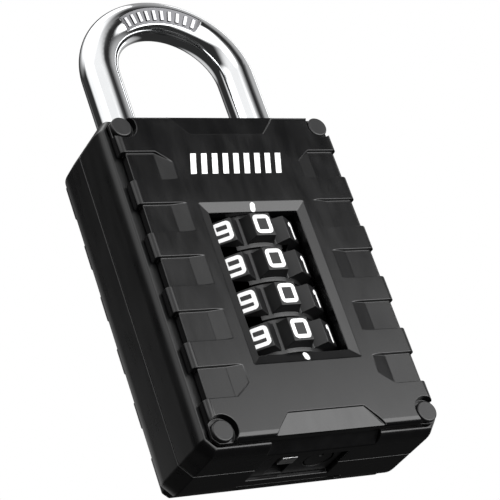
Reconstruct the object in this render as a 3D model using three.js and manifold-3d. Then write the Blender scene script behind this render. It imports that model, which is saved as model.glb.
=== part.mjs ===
// A four-dial combination padlock with a steel shackle, in millimetres.
// X runs to the right, Y runs from the front to the back and Z runs up.
// The origin is at the middle of the case's underside.

import * as THREE from 'three';
import { mergeVertices } from 'three/addons/utils/BufferGeometryUtils.js';
import Module from 'manifold-3d';

const wasm = await Module();
wasm.setup();

// Clearances.
const seatGap = 0.25;      // between pieces that rest on each other
const runningGap = 0.3;    // round a piece that slides or turns
const cutMargin = 1;       // how far a cutting solid runs past the surface that it cuts

// Case.
const caseWidth = 52.8;
const caseHeight = 72;
const rimDepth = 19;           // front rim to rear rim, without the armour plates
const caseWall = 1.8;          // front and rear walls
const sideWall = 3.2;
const floorThickness = 3;
const topWall = 2.4;
const caseCornerX = 2.3;
const caseCornerZ = 2.7;
const rimRoundDepth = 3.2;     // how far back the rounded rim starts
const rimRoundInset = 1.2;
const rimRoundSteps = 3;
const stripHalfWidth = 12;     // chamfered strip on the rim above and below each plate
const stripRise = 2.3;
const stripRun = 3;

// Armour plates.
const plateThickness = 2.4;
const plateBorder = 1.8;       // from the plate's edge to the side of the case
const plateEnd = 1.3;          // from the plate's edge to the end of the case
const plateCorner = 1.2;
const plateRound = 1;
const plateRoundInset = 1.2;
const plateRoundSteps = 3;
const treadPairs = 2;          // recessed cells above and below the middle one
const treadPitch = 11.6;
const treadHeight = 6.3;
const treadDepth = 0.65;
const treadRidge = 10.2;       // from the plate's edge to the top of the cell's ramp
const treadRamp = 3.3;
const treadStep = 1;           // how far the plate's edge steps in beside a cell
const treadNotchX = 3.1;
const treadNotchZ = 2.4;
const insetInnerHalf = 8.4;
const insetOuterHalf = 12.1;
const insetKinkHalf = 10.8;
const insetLength = 4.3;
const insetKink = 1.7;
const insetShallow = 0.3;
const insetDeep = 0.75;
const pegRadius = 1;
const pegLength = 1.4;
const pegOffsetX = 18.2;
const pegOffsetZ = 27;

// Corner plugs and case screws.
const plugRadius = 2.15;
const plugPocketRadius = 2.85;
const plugCorner = 3.9;        // from the case's side to a plug's centre
const plugCornerEnd = 3.5;     // from the case's end to a plug's centre
const plugPocketFloor = 0.8;    // plate left under a plug's cap
const plugSink = 0.5;
const plugRound = 0.3;
const plugRoundSteps = 3;
const plugStemRadius = 1.5;
const plugLength = 4.1;
const screwHeadRadius = 1.9;
const screwHeadHeight = 1.8;
const screwRadius = 1;
const screwSocketRadius = 0.95;
const screwSocketDepth = 1;
const socketSides = 6;
const screwTip = 5.6;          // how far the screw reaches behind the seam
const bossRadius = 3;

// Dials.
const dialCount = 4;
const dialPitch = 7.65;
const dialGap = 0.3;
const dialDigits = 10;
const dialFace = 13.15;        // from the axis to a pad's flat face
const dialProud = 1;           // how far the pads stand in front of the plate
const dialCoreRadius = 10.8;
const dialSides = 40;
const padHeight = 5.2;
const padFaceHalf = 2.1;
const padBaseHalf = 3;
const padRoot = 0.6;           // how deep a pad is sunk in the core
const dialBoreRadius = 6.5;
const splineRadius = 0.8;
const splineSides = 8;
const stackCentreRatio = 0.464;  // height of the dials' middle in the case's height

// Code sleeves.
const sleeveKeys = 2;
const sleeveKeyRadius = 0.5;
const gateWidth = 2;
const gateReach = 4.9;
const reliefHeight = 3.3;

// Window.
const windowSide = 9.95;       // half the clear width
const windowEndGap = 0.15;     // clear space above and below the stack of dials
const windowDrop = 0.3;        // how far the window's middle sits below the dials' middle
const windowBevel = 2;
const windowBevelDepth = 0.6;
const shellWindowSide = 11.2;
const shellWindowMargin = 0.45;

// Shackle.
const rodRadius = 4;
const legOffset = 15.9;        // from the middle to each leg
const bowStart = 16;           // from the case's top to where the bow starts
const bowRise = 15;
const bowSteps = 32;
const rodSegments = 12;
const toeDepth = 5.7;
const neckRadius = 2.6;
const footRadius = 3.6;
const footHeight = 0.9;
const bandDepth = 0.45;
const bandSweep = 76;          // degrees of the bow that carry the flat band
const guideMargin = 1.7;
const guideClear = 1.275;      // from the lifted bridge to the guides

// Lift bridge, spindle, clip and spring.
const bridgeThickness = 2.5;
const bridgeEndRadius = 4.2;
const spindleRadius = 2;
const spindleTipRadius = 1.3;
const spindleGrooveRadius = 0.95;
const spindleTipHeight = 4.1;
const spindleTail = 0.6;
const finWidth = 1.4;
const finReach = 4.3;
const finHeight = 2.4;
const finRise = 0.45;
const clipRadius = 2.7;
const clipThickness = 0.7;
const springCoils = 8;
const springWire = 0.7;
const springRadius = 1.9;
const springStepsPerCoil = 10;
const wireSegments = 3;
const springLength = 14.4;
const shelfThickness = 3;
const shelfInner = 13.65;
const shelfFront = 3;
const postRadius = 1.1;
const postRise = 9.5;
const postSeat = 2;

// Dial cage, its screws and the detent comb.
const cageThickness = 1;
const cagePlateHalf = 11.4;
const cageStrapInner = 14.35;
const cageHalfDepth = 5;
const earReach = 7;
const earHeight = 5;
const earBack = 5.8;           // from the seam to the ears' rear face
const earInset = 3.9;          // from the end of the stack to an ear's middle
const cageScrewRadius = 0.9;
const cageScrewHead = 1.7;
const cageScrewHeadHeight = 1.1;
const cageScrewTip = 8.7;
const cagePostRadius = 2.2;
const combThickness = 0.4;
const combHalfWidth = 2.6;
const noseBaseHalf = 1.5;
const noseTipHalf = 0.25;
const noseHeight = 2.3;
const noseTip = 11.25;         // from the dials' axis to the nose of a detent finger

// Bottom insert, reset slider and reset cam.
const insertLow = -10.9;
const insertHigh = 7.4;
const insertHalfDepth = 4.5;
const insertSink = 0.8;
const insertFlange = 1.5;
const insertFlangeHeight = 1;
const slotLow = -7.1;
const slotWidth = 4;
const slotFront = 3.9;
const slotBack = 3.8;
const tabLength = 2.6;
const tabSink = 0.3;
const shutterMargin = 1.1;
const shutterHeight = 1;
const shutterOverlap = 3.4;
const camX = 2.8;
const camY = -0.7;
const camRadius = 2.8;
const camSink = 0.9;
const camFlangeRadius = 3.7;
const camFlangeHeight = 1;
const camKeyRadius = 0.5;
const camKeyDepth = 1.6;
const camLobeReach = 5;
const camLobeHalf = 1.5;
const camLobeHeight = 1.6;

const roundSides = 32;
const smallSides = 16;

// Places worked out from the sizes above.
const halfWidth = caseWidth / 2;
const halfRim = rimDepth / 2;
const caseMiddle = caseHeight / 2;
const cavityHalf = halfWidth - sideWall;
const cavityDepth = halfRim - caseWall;
const cavityTop = caseHeight - topWall;
const plateBack = -halfRim - seatGap;
const plateFront = plateBack - plateThickness;
const plateHalf = halfWidth - plateBorder;
const plateHalfHeight = caseMiddle - plateEnd;
const axisY = plateFront - dialProud + dialFace;
const stackHeight = dialCount * dialPitch;
const stackMiddle = caseHeight * stackCentreRatio;
const stackBottom = stackMiddle - stackHeight / 2;
const stackTop = stackMiddle + stackHeight / 2;
const windowMiddle = stackMiddle - windowDrop;
const windowHalf = stackHeight / 2 + windowEndGap;
const lift = dialPitch;
const cageTopLow = stackTop + seatGap / 2;
const cageTopHigh = cageTopLow + cageThickness;
const bridgeLow = cageTopHigh + runningGap;
const bridgeHigh = bridgeLow + bridgeThickness;
const liftedTop = bridgeHigh + seatGap + lift;
const guideLow = liftedTop + guideClear;
const boreRadius = rodRadius + runningGap;
const plugX = halfWidth - plugCorner;
const plugTop = caseHeight - plugCornerEnd;
const plugBottom = plugCornerEnd;
const plugFront = plateFront + plugSink;
const screwHeadFront = plugFront + plugLength + seatGap;
const screwSeat = screwHeadFront + screwHeadHeight;
const springTop = bridgeLow - seatGap - footHeight - seatGap;
const springBottom = springTop - springLength;
const shelfTop = springBottom - seatGap;
const insertTop = floorThickness + seatGap + insertFlangeHeight;
const shutterLow = insertTop + runningGap;
const earMiddle = -cageStrapInner - cageThickness - earReach / 2;

const caseBlack = { color: 0x1b1c1e, roughness: 0.42, metalness: 0.1 };
const plateBlack = { color: 0x1e1f22, roughness: 0.45, metalness: 0.05 };
const dialBlack = { color: 0x17181a, roughness: 0.5, metalness: 0.05 };
const plugBlack = { color: 0x161719, roughness: 0.4, metalness: 0.05 };
const chrome = { color: 0xd5d8dc, roughness: 0.08, metalness: 1 };
const zincGrey = { color: 0x9a9da1, roughness: 0.35, metalness: 0.9 };
const brass = { color: 0xb58a45, roughness: 0.35, metalness: 0.9 };
const springSteel = { color: 0x8a8d92, roughness: 0.3, metalness: 1 };

// ---------------------------------------------------------------- solids

/** Turns a closed geometry into a solid that can be cut and joined. */
function solidOf(geometry) {
  const bare = geometry.clone();
  bare.deleteAttribute('normal');
  bare.deleteAttribute('uv');
  const merged = mergeVertices(bare);
  return new wasm.Manifold(new wasm.Mesh({
    numProp: 3,
    vertProperties: new Float32Array(merged.attributes.position.array),
    triVerts: new Uint32Array(merged.index.array),
  }));
}

/** Turns a solid back into a geometry. */
function geometryOf(solid) {
  const mesh = solid.getMesh();
  const geometry = new THREE.BufferGeometry();
  geometry.setAttribute('position', new THREE.BufferAttribute(new Float32Array(mesh.vertProperties), 3));
  geometry.setIndex(new THREE.BufferAttribute(new Uint32Array(mesh.triVerts), 1));
  geometry.computeVertexNormals();
  return geometry;
}

/** Makes the named mesh of one piece. */
function piece(name, solid, finish) {
  const material = new THREE.MeshStandardMaterial({ ...finish, flatShading: true });
  const mesh = new THREE.Mesh(geometryOf(solid), material);
  mesh.name = name;
  return mesh;
}

/** A box between two corners. */
function box(low, high) {
  const geometry = new THREE.BoxGeometry(high[0] - low[0], high[1] - low[1], high[2] - low[2]);
  geometry.translate((low[0] + high[0]) / 2, (low[1] + high[1]) / 2, (low[2] + high[2]) / 2);
  return solidOf(geometry);
}

/** A straight-sided outline through the given points. */
function outline(points) {
  return new THREE.Shape(points.map(([a, b]) => new THREE.Vector2(a, b)));
}

/** An outline in X and Y, pushed up from one height to another. */
function prismZ(shape, low, high) {
  const geometry = new THREE.ExtrudeGeometry(shape, {
    depth: high - low, bevelEnabled: false, curveSegments: smallSides,
  });
  geometry.translate(0, 0, low);
  return solidOf(geometry);
}

/** An outline in X and Z, pushed from front to back, with an optional round on both ends. */
function prismY(shape, front, back, round = null) {
  const depth = back - front;
  const settings = { depth, bevelEnabled: false, curveSegments: smallSides };
  if (round) {
    settings.depth = depth - 2 * round.depth;
    settings.bevelEnabled = true;
    settings.bevelThickness = round.depth;
    settings.bevelSize = round.inset;
    settings.bevelOffset = -round.inset;
    settings.bevelSegments = round.steps;
  }
  const geometry = new THREE.ExtrudeGeometry(shape, settings);
  geometry.rotateX(Math.PI / 2);
  geometry.translate(0, round ? back - round.depth : back, 0);
  return solidOf(geometry);
}

/** An outline in Y and Z, pushed from one X to another. */
function prismX(shape, low, high) {
  const geometry = new THREE.ExtrudeGeometry(shape, { depth: high - low, bevelEnabled: false });
  const turn = new THREE.Matrix4().makeBasis(
    new THREE.Vector3(0, 1, 0), new THREE.Vector3(0, 0, 1), new THREE.Vector3(1, 0, 0));
  geometry.applyMatrix4(turn);
  geometry.translate(low, 0, 0);
  return solidOf(geometry);
}

/** A round bar that stands up along Z. */
function barZ(radius, x, y, low, high, sides = roundSides) {
  const geometry = new THREE.CylinderGeometry(radius, radius, high - low, sides);
  geometry.rotateX(Math.PI / 2);
  geometry.translate(x, y, (low + high) / 2);
  return solidOf(geometry);
}

/** A round bar that lies along Y. */
function barY(radius, x, z, front, back, sides = smallSides) {
  const geometry = new THREE.CylinderGeometry(radius, radius, back - front, sides);
  geometry.translate(x, (front + back) / 2, z);
  return solidOf(geometry);
}

/** A turned piece about a line along Y, from its profile of radius and Y. */
function turnedY(profile, x, z, sides = smallSides) {
  const geometry = new THREE.LatheGeometry(profile.map(([r, y]) => new THREE.Vector2(r, y)), sides);
  geometry.translate(x, 0, z);
  return solidOf(geometry);
}

/** Joins a list of solids into one. */
function join(solids) {
  return solids.reduce((whole, next) => whole.add(next));
}

/** Cuts every solid of a list out of another. */
function cut(solid, cutters) {
  return cutters.reduce((rest, cutter) => rest.subtract(cutter), solid);
}

/** A rectangle with cut corners, in X and Z. */
function cornerCutOutline(half, low, high, cornerX, cornerZ) {
  return outline([
    [-half + cornerX, low], [half - cornerX, low], [half, low + cornerZ], [half, high - cornerZ],
    [half - cornerX, high], [-half + cornerX, high], [-half, high - cornerZ], [-half, low + cornerZ],
  ]);
}

/** The four plug places, each with the name of its corner. */
function plugPlaces() {
  return [
    { corner: 'top_left', x: -plugX, z: plugTop },
    { corner: 'top_right', x: plugX, z: plugTop },
    { corner: 'bottom_left', x: -plugX, z: plugBottom },
    { corner: 'bottom_right', x: plugX, z: plugBottom },
  ];
}

/** The places of the locating pegs behind an armour plate. */
function pegPlaces() {
  const places = [];
  for (const side of [-1, 1]) {
    for (const end of [-1, 1]) {
      places.push([side * pegOffsetX, caseMiddle + end * pegOffsetZ]);
    }
  }
  return places;
}

// ------------------------------------------------------------------ case

/** The whole case as one solid block with rounded rims and chamfered strips. */
function caseBlock() {
  const shape = cornerCutOutline(halfWidth, 0, caseHeight, caseCornerX, caseCornerZ);
  const round = { depth: rimRoundDepth, inset: rimRoundInset, steps: rimRoundSteps };
  const strips = [];
  for (const face of [-1, 1]) {
    for (const [level, inward] of [[0, 1], [caseHeight, -1]]) {
      strips.push(prismX(outline([
        [face * (halfRim + cutMargin), level - inward * cutMargin],
        [face * (halfRim + cutMargin), level + inward * (stripRise + cutMargin * stripRise / stripRun)],
        [face * (halfRim - stripRun - cutMargin), level - inward * cutMargin * stripRise / stripRun],
        [face * (halfRim - stripRun - cutMargin), level - inward * cutMargin],
      ]), -stripHalfWidth, stripHalfWidth));
    }
  }
  return cut(prismY(shape, -halfRim, halfRim, round), strips);
}

/** The guide blocks that the shackle's legs run in, on one side of the seam. */
function legGuides(front, back) {
  const half = rodRadius + guideMargin;
  return [-1, 1].map((side) => box(
    [side * legOffset - half, front, guideLow], [side * legOffset + half, back, cavityTop + cutMargin]));
}

/** What both half shells are cut by: the legs' bores and the insert's hole. */
function sharedCuts() {
  return [
    barZ(boreRadius, -legOffset, 0, guideLow - cutMargin, caseHeight + cutMargin),
    barZ(boreRadius, legOffset, 0, guideLow - cutMargin, caseHeight + cutMargin),
    box([insertLow, -insertHalfDepth, -cutMargin], [insertHigh, insertHalfDepth, floorThickness + cutMargin]),
  ];
}

/** The front half of the case. */
function frontShell() {
  const block = caseBlock();
  const half = box([-caseWidth, -rimDepth, -cutMargin], [caseWidth, -seatGap / 2, caseHeight + cutMargin]);
  const hollow = box([-cavityHalf, -cavityDepth, floorThickness], [cavityHalf, cutMargin, cavityTop]);
  const bosses = plugPlaces().map(({ x, z }) => barY(bossRadius, x, z, -halfRim + cutMargin, 0));
  const fill = join([...bosses, ...legGuides(-halfRim + cutMargin, 0)]).intersect(block);
  const holes = plugPlaces().flatMap(({ x, z }) => [
    barY(screwHeadRadius + seatGap, x, z, -halfRim - cutMargin, screwSeat + seatGap),
    barY(screwRadius + seatGap, x, z, -halfRim, cutMargin),
  ]);
  const pegHoles = pegPlaces().map(([x, z]) => barY(
    pegRadius + seatGap, x, z, -halfRim - cutMargin, -cavityDepth + cutMargin));
  const windowTall = windowHalf + shellWindowMargin;
  const window = box(
    [-shellWindowSide, -halfRim - cutMargin, windowMiddle - windowTall],
    [shellWindowSide, -cavityDepth + cutMargin, windowMiddle + windowTall]);
  const walls = block.subtract(hollow).add(fill);
  return cut(walls, [...sharedCuts(), ...holes, ...pegHoles, window]).intersect(half);
}

/** The shelf that the lift spring stands on, with the seat of its post. */
function springShelf() {
  const low = shelfTop - shelfThickness;
  const tongue = box([shelfInner, -shelfFront, low], [cavityHalf - seatGap, cutMargin, shelfTop]);
  const root = box([shelfInner, 0, low], [cavityHalf + cutMargin, cavityDepth + cutMargin, shelfTop]);
  const seat = barZ(
    postRadius + seatGap, legOffset, 0, shelfTop - postSeat - seatGap, shelfTop + cutMargin, smallSides);
  return tongue.add(root).subtract(seat);
}

/** The rear half of the case, with the shelf for the lift spring and the cage's posts. */
function rearShell() {
  const block = caseBlock();
  const half = box([-caseWidth, seatGap / 2, -cutMargin], [caseWidth, rimDepth, caseHeight + cutMargin]);
  const hollow = box([-cavityHalf, -cutMargin, floorThickness], [cavityHalf, cavityDepth, cavityTop]);
  const bosses = plugPlaces().map(({ x, z }) => barY(bossRadius, x, z, 0, halfRim - cutMargin));
  const cagePosts = cageScrewHeights().map((z) => barY(
    cagePostRadius, earMiddle, z, earBack + seatGap, halfRim - cutMargin));
  const stop = box(
    [clipRadius + seatGap, 0, liftedTop + seatGap],
    [legOffset - boreRadius - seatGap, halfRim - cutMargin, liftedTop + seatGap + shelfThickness / 2]);
  const fill = join([...bosses, ...legGuides(0, halfRim - cutMargin), ...cagePosts, stop]).intersect(block);
  const screwHoles = plugPlaces().map(({ x, z }) => barY(
    screwRadius + seatGap, x, z, -cutMargin, screwTip + seatGap));
  const cageHoles = cageScrewHeights().map((z) => barY(
    cageScrewRadius + seatGap, earMiddle, z, 0, cageScrewTip + seatGap));
  const pegHoles = pegPlaces().map(([x, z]) => barY(
    pegRadius + seatGap, x, z, cavityDepth - cutMargin, halfRim + cutMargin));
  const windowTall = windowHalf + shellWindowMargin;
  const window = box(
    [-shellWindowSide, cavityDepth - cutMargin, windowMiddle - windowTall],
    [shellWindowSide, halfRim + cutMargin, windowMiddle + windowTall]);
  const walls = block.subtract(hollow).add(fill);
  const shell = cut(walls, [...sharedCuts(), ...screwHoles, ...cageHoles, ...pegHoles, window]);
  return shell.intersect(half).add(springShelf());
}

// --------------------------------------------------------- armour plates

/** One recessed tread cell on the given side, as the solid that is cut away. */
function treadCell(side, index) {
  const middle = caseMiddle + index * treadPitch;
  const low = middle - treadHeight / 2;
  const high = middle + treadHeight / 2;
  const ridge = plateHalf - treadRidge;
  const far = plateHalf + cutMargin;
  const floor = plateFront + treadDepth;
  const ramp = prismZ(outline([
    [side * ridge, plateFront], [side * (ridge + treadRamp), floor], [side * far, floor],
    [side * far, plateFront - cutMargin], [side * ridge, plateFront - cutMargin],
  ]), low, high);
  const end = Math.sign(index);
  const notch = Math.abs(index) === treadPairs ? treadNotchZ : 0;
  const outer = end >= 0 ? high : low;
  const inner = end >= 0 ? low : high;
  const sign = end >= 0 ? -1 : 1;
  const plan = notch ? prismY(outline([
    [side * (ridge - cutMargin), inner - sign * cutMargin],
    [side * (far + cutMargin), inner - sign * cutMargin],
    [side * (far + cutMargin), outer - sign * cutMargin],
    [side * (ridge + treadNotchX), outer - sign * cutMargin],
    [side * (ridge + treadNotchX), outer], [side * ridge, outer + sign * notch],
    [side * (ridge - cutMargin), outer + sign * notch],
  ]), plateFront - 2 * cutMargin, plateBack) : null;
  const edge = box(
    [Math.min(side * (plateHalf - treadStep), side * far), plateFront - cutMargin, low],
    [Math.max(side * (plateHalf - treadStep), side * far), plateBack + cutMargin, high]);
  return (plan ? ramp.intersect(plan) : ramp).add(edge);
}

/** The sloping inset at the top or the bottom of a plate, as the solid that is cut away. */
function endInset(end) {
  const edge = caseMiddle + end * plateHalfHeight;
  const inner = edge - end * insetLength;
  const kink = edge - end * insetKink;
  const beyond = edge + end * cutMargin;
  const plan = prismY(outline([
    [-insetInnerHalf, inner], [insetInnerHalf, inner], [insetKinkHalf, kink],
    [insetOuterHalf, edge], [insetOuterHalf, beyond], [-insetOuterHalf, beyond],
    [-insetOuterHalf, edge], [-insetKinkHalf, kink],
  ]), plateFront - cutMargin, plateBack);
  const wedge = prismX(outline([
    [plateFront - cutMargin, inner - end * cutMargin], [plateFront + insetShallow, inner - end * cutMargin],
    [plateFront + insetShallow, inner], [plateFront + insetDeep, beyond + end * cutMargin],
    [plateFront - cutMargin, beyond + end * cutMargin],
  ]), -halfWidth, halfWidth);
  return plan.intersect(wedge);
}

/** An armour plate that faces the front, with its treads, its insets and its pegs. */
function treadPlate() {
  const shape = cornerCutOutline(
    plateHalf, caseMiddle - plateHalfHeight, caseMiddle + plateHalfHeight, plateCorner, plateCorner);
  const round = { depth: plateRound, inset: plateRoundInset, steps: plateRoundSteps };
  const blank = prismY(shape, plateFront, plateBack + 2 * plateRound, round)
    .subtract(box([-caseWidth, plateBack, -cutMargin], [caseWidth, 0, caseHeight + cutMargin]));
  const cells = [];
  for (const side of [-1, 1]) {
    for (let index = -treadPairs; index <= treadPairs; index += 1) {
      cells.push(treadCell(side, index));
    }
  }
  const pegs = pegPlaces().map(([x, z]) => barY(
    pegRadius, x, z, plateBack - plateThickness / 2, plateBack + pegLength));
  return cut(blank, [...cells, endInset(-1), endInset(1)]).add(join(pegs));
}

/** What both armour plates are cut by: the dial window and its sloping frame. */
function windowCuts() {
  const rectangle = outline([
    [-windowSide - windowBevel, windowMiddle - windowHalf - windowBevel],
    [windowSide + windowBevel, windowMiddle - windowHalf - windowBevel],
    [windowSide + windowBevel, windowMiddle + windowHalf + windowBevel],
    [-windowSide - windowBevel, windowMiddle + windowHalf + windowBevel],
  ]);
  const bevel = prismY(rectangle, plateFront - cutMargin - windowBevelDepth, plateFront + windowBevelDepth,
    { depth: windowBevelDepth, inset: windowBevel, steps: 1 });
  const opening = box(
    [-windowSide, plateFront - cutMargin, windowMiddle - windowHalf],
    [windowSide, plateBack + cutMargin, windowMiddle + windowHalf]);
  return [bevel, opening];
}

/** The front armour plate, with the dial window and the four plug pockets. */
function frontPlate() {
  const pockets = plugPlaces().flatMap(({ x, z }) => [
    barY(plugPocketRadius, x, z, plateFront - cutMargin, plateBack - plugPocketFloor, roundSides),
    barY(plugStemRadius + seatGap, x, z, plateFront, plateBack + cutMargin),
  ]);
  return cut(treadPlate(), [...windowCuts(), ...pockets]);
}

/** The rear armour plate, with a window that the dials reach through. */
function rearPlate() {
  const geometry = geometryOf(cut(treadPlate(), windowCuts()));
  geometry.rotateZ(Math.PI);
  return solidOf(geometry);
}

// ---------------------------------------------------- plugs and screws

/** A corner plug that covers the head of a case screw. */
function cornerPlug({ x, z }) {
  const back = plugFront + plugLength;
  const capBack = plateBack - plugPocketFloor - seatGap;
  const profile = [[0, plugFront], [plugRadius - plugRound, plugFront]];
  for (let step = 1; step <= plugRoundSteps; step += 1) {
    const angle = (step / plugRoundSteps) * Math.PI / 2;
    profile.push([
      plugRadius - plugRound * (1 - Math.sin(angle)), plugFront + plugRound * (1 - Math.cos(angle)),
    ]);
  }
  profile.push([plugRadius, capBack], [plugStemRadius, capBack], [plugStemRadius, back], [0, back]);
  return turnedY(profile, x, z, roundSides);
}

/** A case screw with a hexagon socket. */
function caseScrew({ x, z }) {
  const screw = turnedY([
    [0, screwHeadFront], [screwHeadRadius, screwHeadFront], [screwHeadRadius, screwSeat],
    [screwRadius, screwSeat], [screwRadius, screwTip], [0, screwTip],
  ], x, z);
  const socket = barY(
    screwSocketRadius, x, z, screwHeadFront - cutMargin, screwHeadFront + screwSocketDepth, socketSides);
  return screw.subtract(socket);
}

// ---------------------------------------------------------------- dials

/** A round bar on the dials' axis. */
function axisBar(radius, low, high, sides = roundSides) {
  return barZ(radius, 0, axisY, low, high, sides);
}

/** Copies of a small bar set evenly round the dials' axis. */
function barsRound(count, ringRadius, radius, low, high, start = 0) {
  const bars = [];
  for (let index = 0; index < count; index += 1) {
    const angle = start + (index / count) * 2 * Math.PI;
    const x = ringRadius * Math.sin(angle);
    const y = axisY - ringRadius * Math.cos(angle);
    bars.push(barZ(radius, x, y, low, high, splineSides));
  }
  return bars;
}

/** The bottom of one dial's share of the stack, counted from the top. */
function dialLow(index) {
  return stackTop - (index + 1) * dialPitch + dialGap / 2;
}

/** One dial: a core with ten digit pads round it and a splined bore. */
function dial(index) {
  const low = dialLow(index);
  const high = low + dialPitch - dialGap;
  const middle = (low + high) / 2;
  const core = axisBar(dialCoreRadius, low, high, dialSides);
  const pads = [];
  for (let digit = 0; digit < dialDigits; digit += 1) {
    const shape = outline([
      [-padBaseHalf, dialCoreRadius - padRoot], [padBaseHalf, dialCoreRadius - padRoot],
      [padFaceHalf, dialFace], [-padFaceHalf, dialFace],
    ]);
    const geometry = new THREE.ExtrudeGeometry(shape, { depth: padHeight, bevelEnabled: false });
    geometry.rotateZ(Math.PI + (digit / dialDigits) * 2 * Math.PI);
    geometry.translate(0, axisY, middle - padHeight / 2);
    pads.push(solidOf(geometry));
  }
  const bore = [
    axisBar(dialBoreRadius, low - cutMargin, high + cutMargin, dialSides),
    ...barsRound(dialDigits, dialBoreRadius, splineRadius, low - cutMargin, high + cutMargin),
  ];
  return cut(core.add(join(pads)), bore);
}

/** One code sleeve: it is keyed to its dial and has a gate disc over a relief. */
function codeSleeve(index) {
  const low = dialLow(index);
  const high = low + dialPitch - dialGap;
  const body = axisBar(dialBoreRadius - seatGap, low, high, dialSides)
    .add(join(barsRound(sleeveKeys, dialBoreRadius - seatGap, sleeveKeyRadius, low, high)));
  return cut(body, [
    axisBar(spindleRadius + runningGap, low - cutMargin, high + cutMargin),
    axisBar(gateReach, low - cutMargin, low + reliefHeight),
    box([-gateWidth / 2, axisY, low - cutMargin], [gateWidth / 2, axisY + gateReach, high + cutMargin]),
  ]);
}

// -------------------------------------------------------------- shackle

/** The middle line of the shackle's rod, from the toe over the bow to the heel. */
class RodLine extends THREE.Curve {
  constructor(toe, spring, heel) {
    super();
    this.toe = toe;
    this.spring = spring;
    this.heel = heel;
  }

  getPoint(t, target = new THREE.Vector3()) {
    const place = t * (bowSteps + 2);
    if (place <= 1) {
      return target.set(-legOffset, 0, THREE.MathUtils.lerp(this.toe, this.spring, place));
    }
    if (place >= bowSteps + 1) {
      return target.set(legOffset, 0, THREE.MathUtils.lerp(this.spring, this.heel, place - bowSteps - 1));
    }
    const angle = Math.PI * (1 - (place - 1) / bowSteps);
    return target.set(legOffset * Math.cos(angle), 0, this.spring + bowRise * Math.sin(angle));
  }

  getPointAt(u, target) {
    return this.getPoint(u, target);
  }

  getTangentAt(u, target) {
    return this.getTangent(u, target);
  }
}

/** The shackle: a bent rod with a flat band on its bow and a necked heel. */
function shackle() {
  const section = new THREE.Shape();
  section.absarc(0, 0, rodRadius, 0, 2 * Math.PI, false);
  const spring = caseHeight + bowStart;
  const shoulder = bridgeHigh + seatGap;
  const path = new RodLine(caseHeight - toeDepth, spring, shoulder);
  const rod = solidOf(new THREE.ExtrudeGeometry(section, {
    steps: bowSteps + 2, extrudePath: path, bevelEnabled: false, curveSegments: rodSegments,
  }));
  const footLow = bridgeLow - seatGap - footHeight;
  const neck = barZ(neckRadius, legOffset, 0, footLow, shoulder + cutMargin);
  const foot = barZ(footRadius, legOffset, 0, footLow, footLow + footHeight);
  const reach = legOffset + bowRise;
  const half = THREE.MathUtils.degToRad(bandSweep / 2);
  const band = prismY(outline([
    [0, spring], [reach * Math.sin(half), spring + reach * Math.cos(half)], [0, spring + 2 * reach],
    [-reach * Math.sin(half), spring + reach * Math.cos(half)],
  ]), -rodRadius - cutMargin, -rodRadius + bandDepth);
  return rod.subtract(band).add(neck).add(foot);
}

/** The bridge that lifts the spindle with the shackle's heel. */
function liftBridge() {
  const lean = Math.atan2(-axisY, legOffset);
  const shape = new THREE.Shape();
  shape.absarc(legOffset, 0, bridgeEndRadius, lean - Math.PI / 2, lean + Math.PI / 2, false);
  shape.absarc(0, axisY, bridgeEndRadius, lean + Math.PI / 2, lean + 3 * Math.PI / 2, false);
  const slot = neckRadius + seatGap;
  return cut(prismZ(shape, bridgeLow, bridgeHigh), [
    axisBar(spindleTipRadius + seatGap, bridgeLow - cutMargin, bridgeHigh + cutMargin, smallSides),
    barZ(slot, legOffset, 0, bridgeLow - cutMargin, bridgeHigh + cutMargin),
    box(
      [legOffset, -slot, bridgeLow - cutMargin],
      [legOffset + 2 * bridgeEndRadius, slot, bridgeHigh + cutMargin]),
  ]);
}

/** The heights of the clip in its groove on the spindle's tip. */
function clipHeights() {
  const low = bridgeHigh + seatGap;
  return [low, low + clipThickness];
}

/** The spindle, with a fin below the gate of every dial. */
function spindle() {
  const shoulder = bridgeLow - seatGap;
  const [clipLow, clipHigh] = clipHeights();
  const tail = stackBottom - seatGap / 2 - cageThickness - spindleTail;
  const fins = [];
  for (let index = 0; index < dialCount; index += 1) {
    const low = dialLow(index) + finRise;
    fins.push(box([-finWidth / 2, axisY, low], [finWidth / 2, axisY + finReach, low + finHeight]));
  }
  const bar = axisBar(spindleRadius, tail, shoulder)
    .add(axisBar(spindleTipRadius, shoulder - cutMargin, shoulder + spindleTipHeight, smallSides))
    .add(join(fins));
  const groove = axisBar(spindleRadius, clipLow - seatGap / 2, clipHigh + seatGap / 2)
    .subtract(axisBar(spindleGrooveRadius, clipLow - cutMargin, clipHigh + cutMargin, smallSides));
  return bar.subtract(groove);
}

/** The spring clip that holds the bridge on the spindle. */
function spindleClip() {
  const [low, high] = clipHeights();
  const inner = spindleGrooveRadius + seatGap;
  return cut(axisBar(clipRadius, low, high), [
    axisBar(inner, low - cutMargin, high + cutMargin, smallSides),
    box([-inner, axisY - 2 * clipRadius, low - cutMargin], [inner, axisY, high + cutMargin]),
  ]);
}

/** The middle line of the lift spring's wire. */
class SpringLine extends THREE.Curve {
  getPoint(t, target = new THREE.Vector3()) {
    const angle = t * springCoils * 2 * Math.PI;
    const wire = springWire / 2;
    const height = THREE.MathUtils.lerp(springBottom + wire, springTop - wire, t);
    return target.set(legOffset + springRadius * Math.cos(angle), springRadius * Math.sin(angle), height);
  }
}

/** The compression spring that pushes the shackle up. */
function liftSpring() {
  const section = new THREE.Shape();
  section.absarc(0, 0, springWire / 2, 0, 2 * Math.PI, false);
  return solidOf(new THREE.ExtrudeGeometry(section, {
    steps: springCoils * springStepsPerCoil,
    extrudePath: new SpringLine(),
    bevelEnabled: false,
    curveSegments: wireSegments,
  }));
}

/** The post that keeps the lift spring straight. */
function springPost() {
  return barZ(postRadius, legOffset, 0, shelfTop - postSeat, shelfTop + postRise, smallSides);
}

// ----------------------------------------------------- cage and detents

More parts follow.
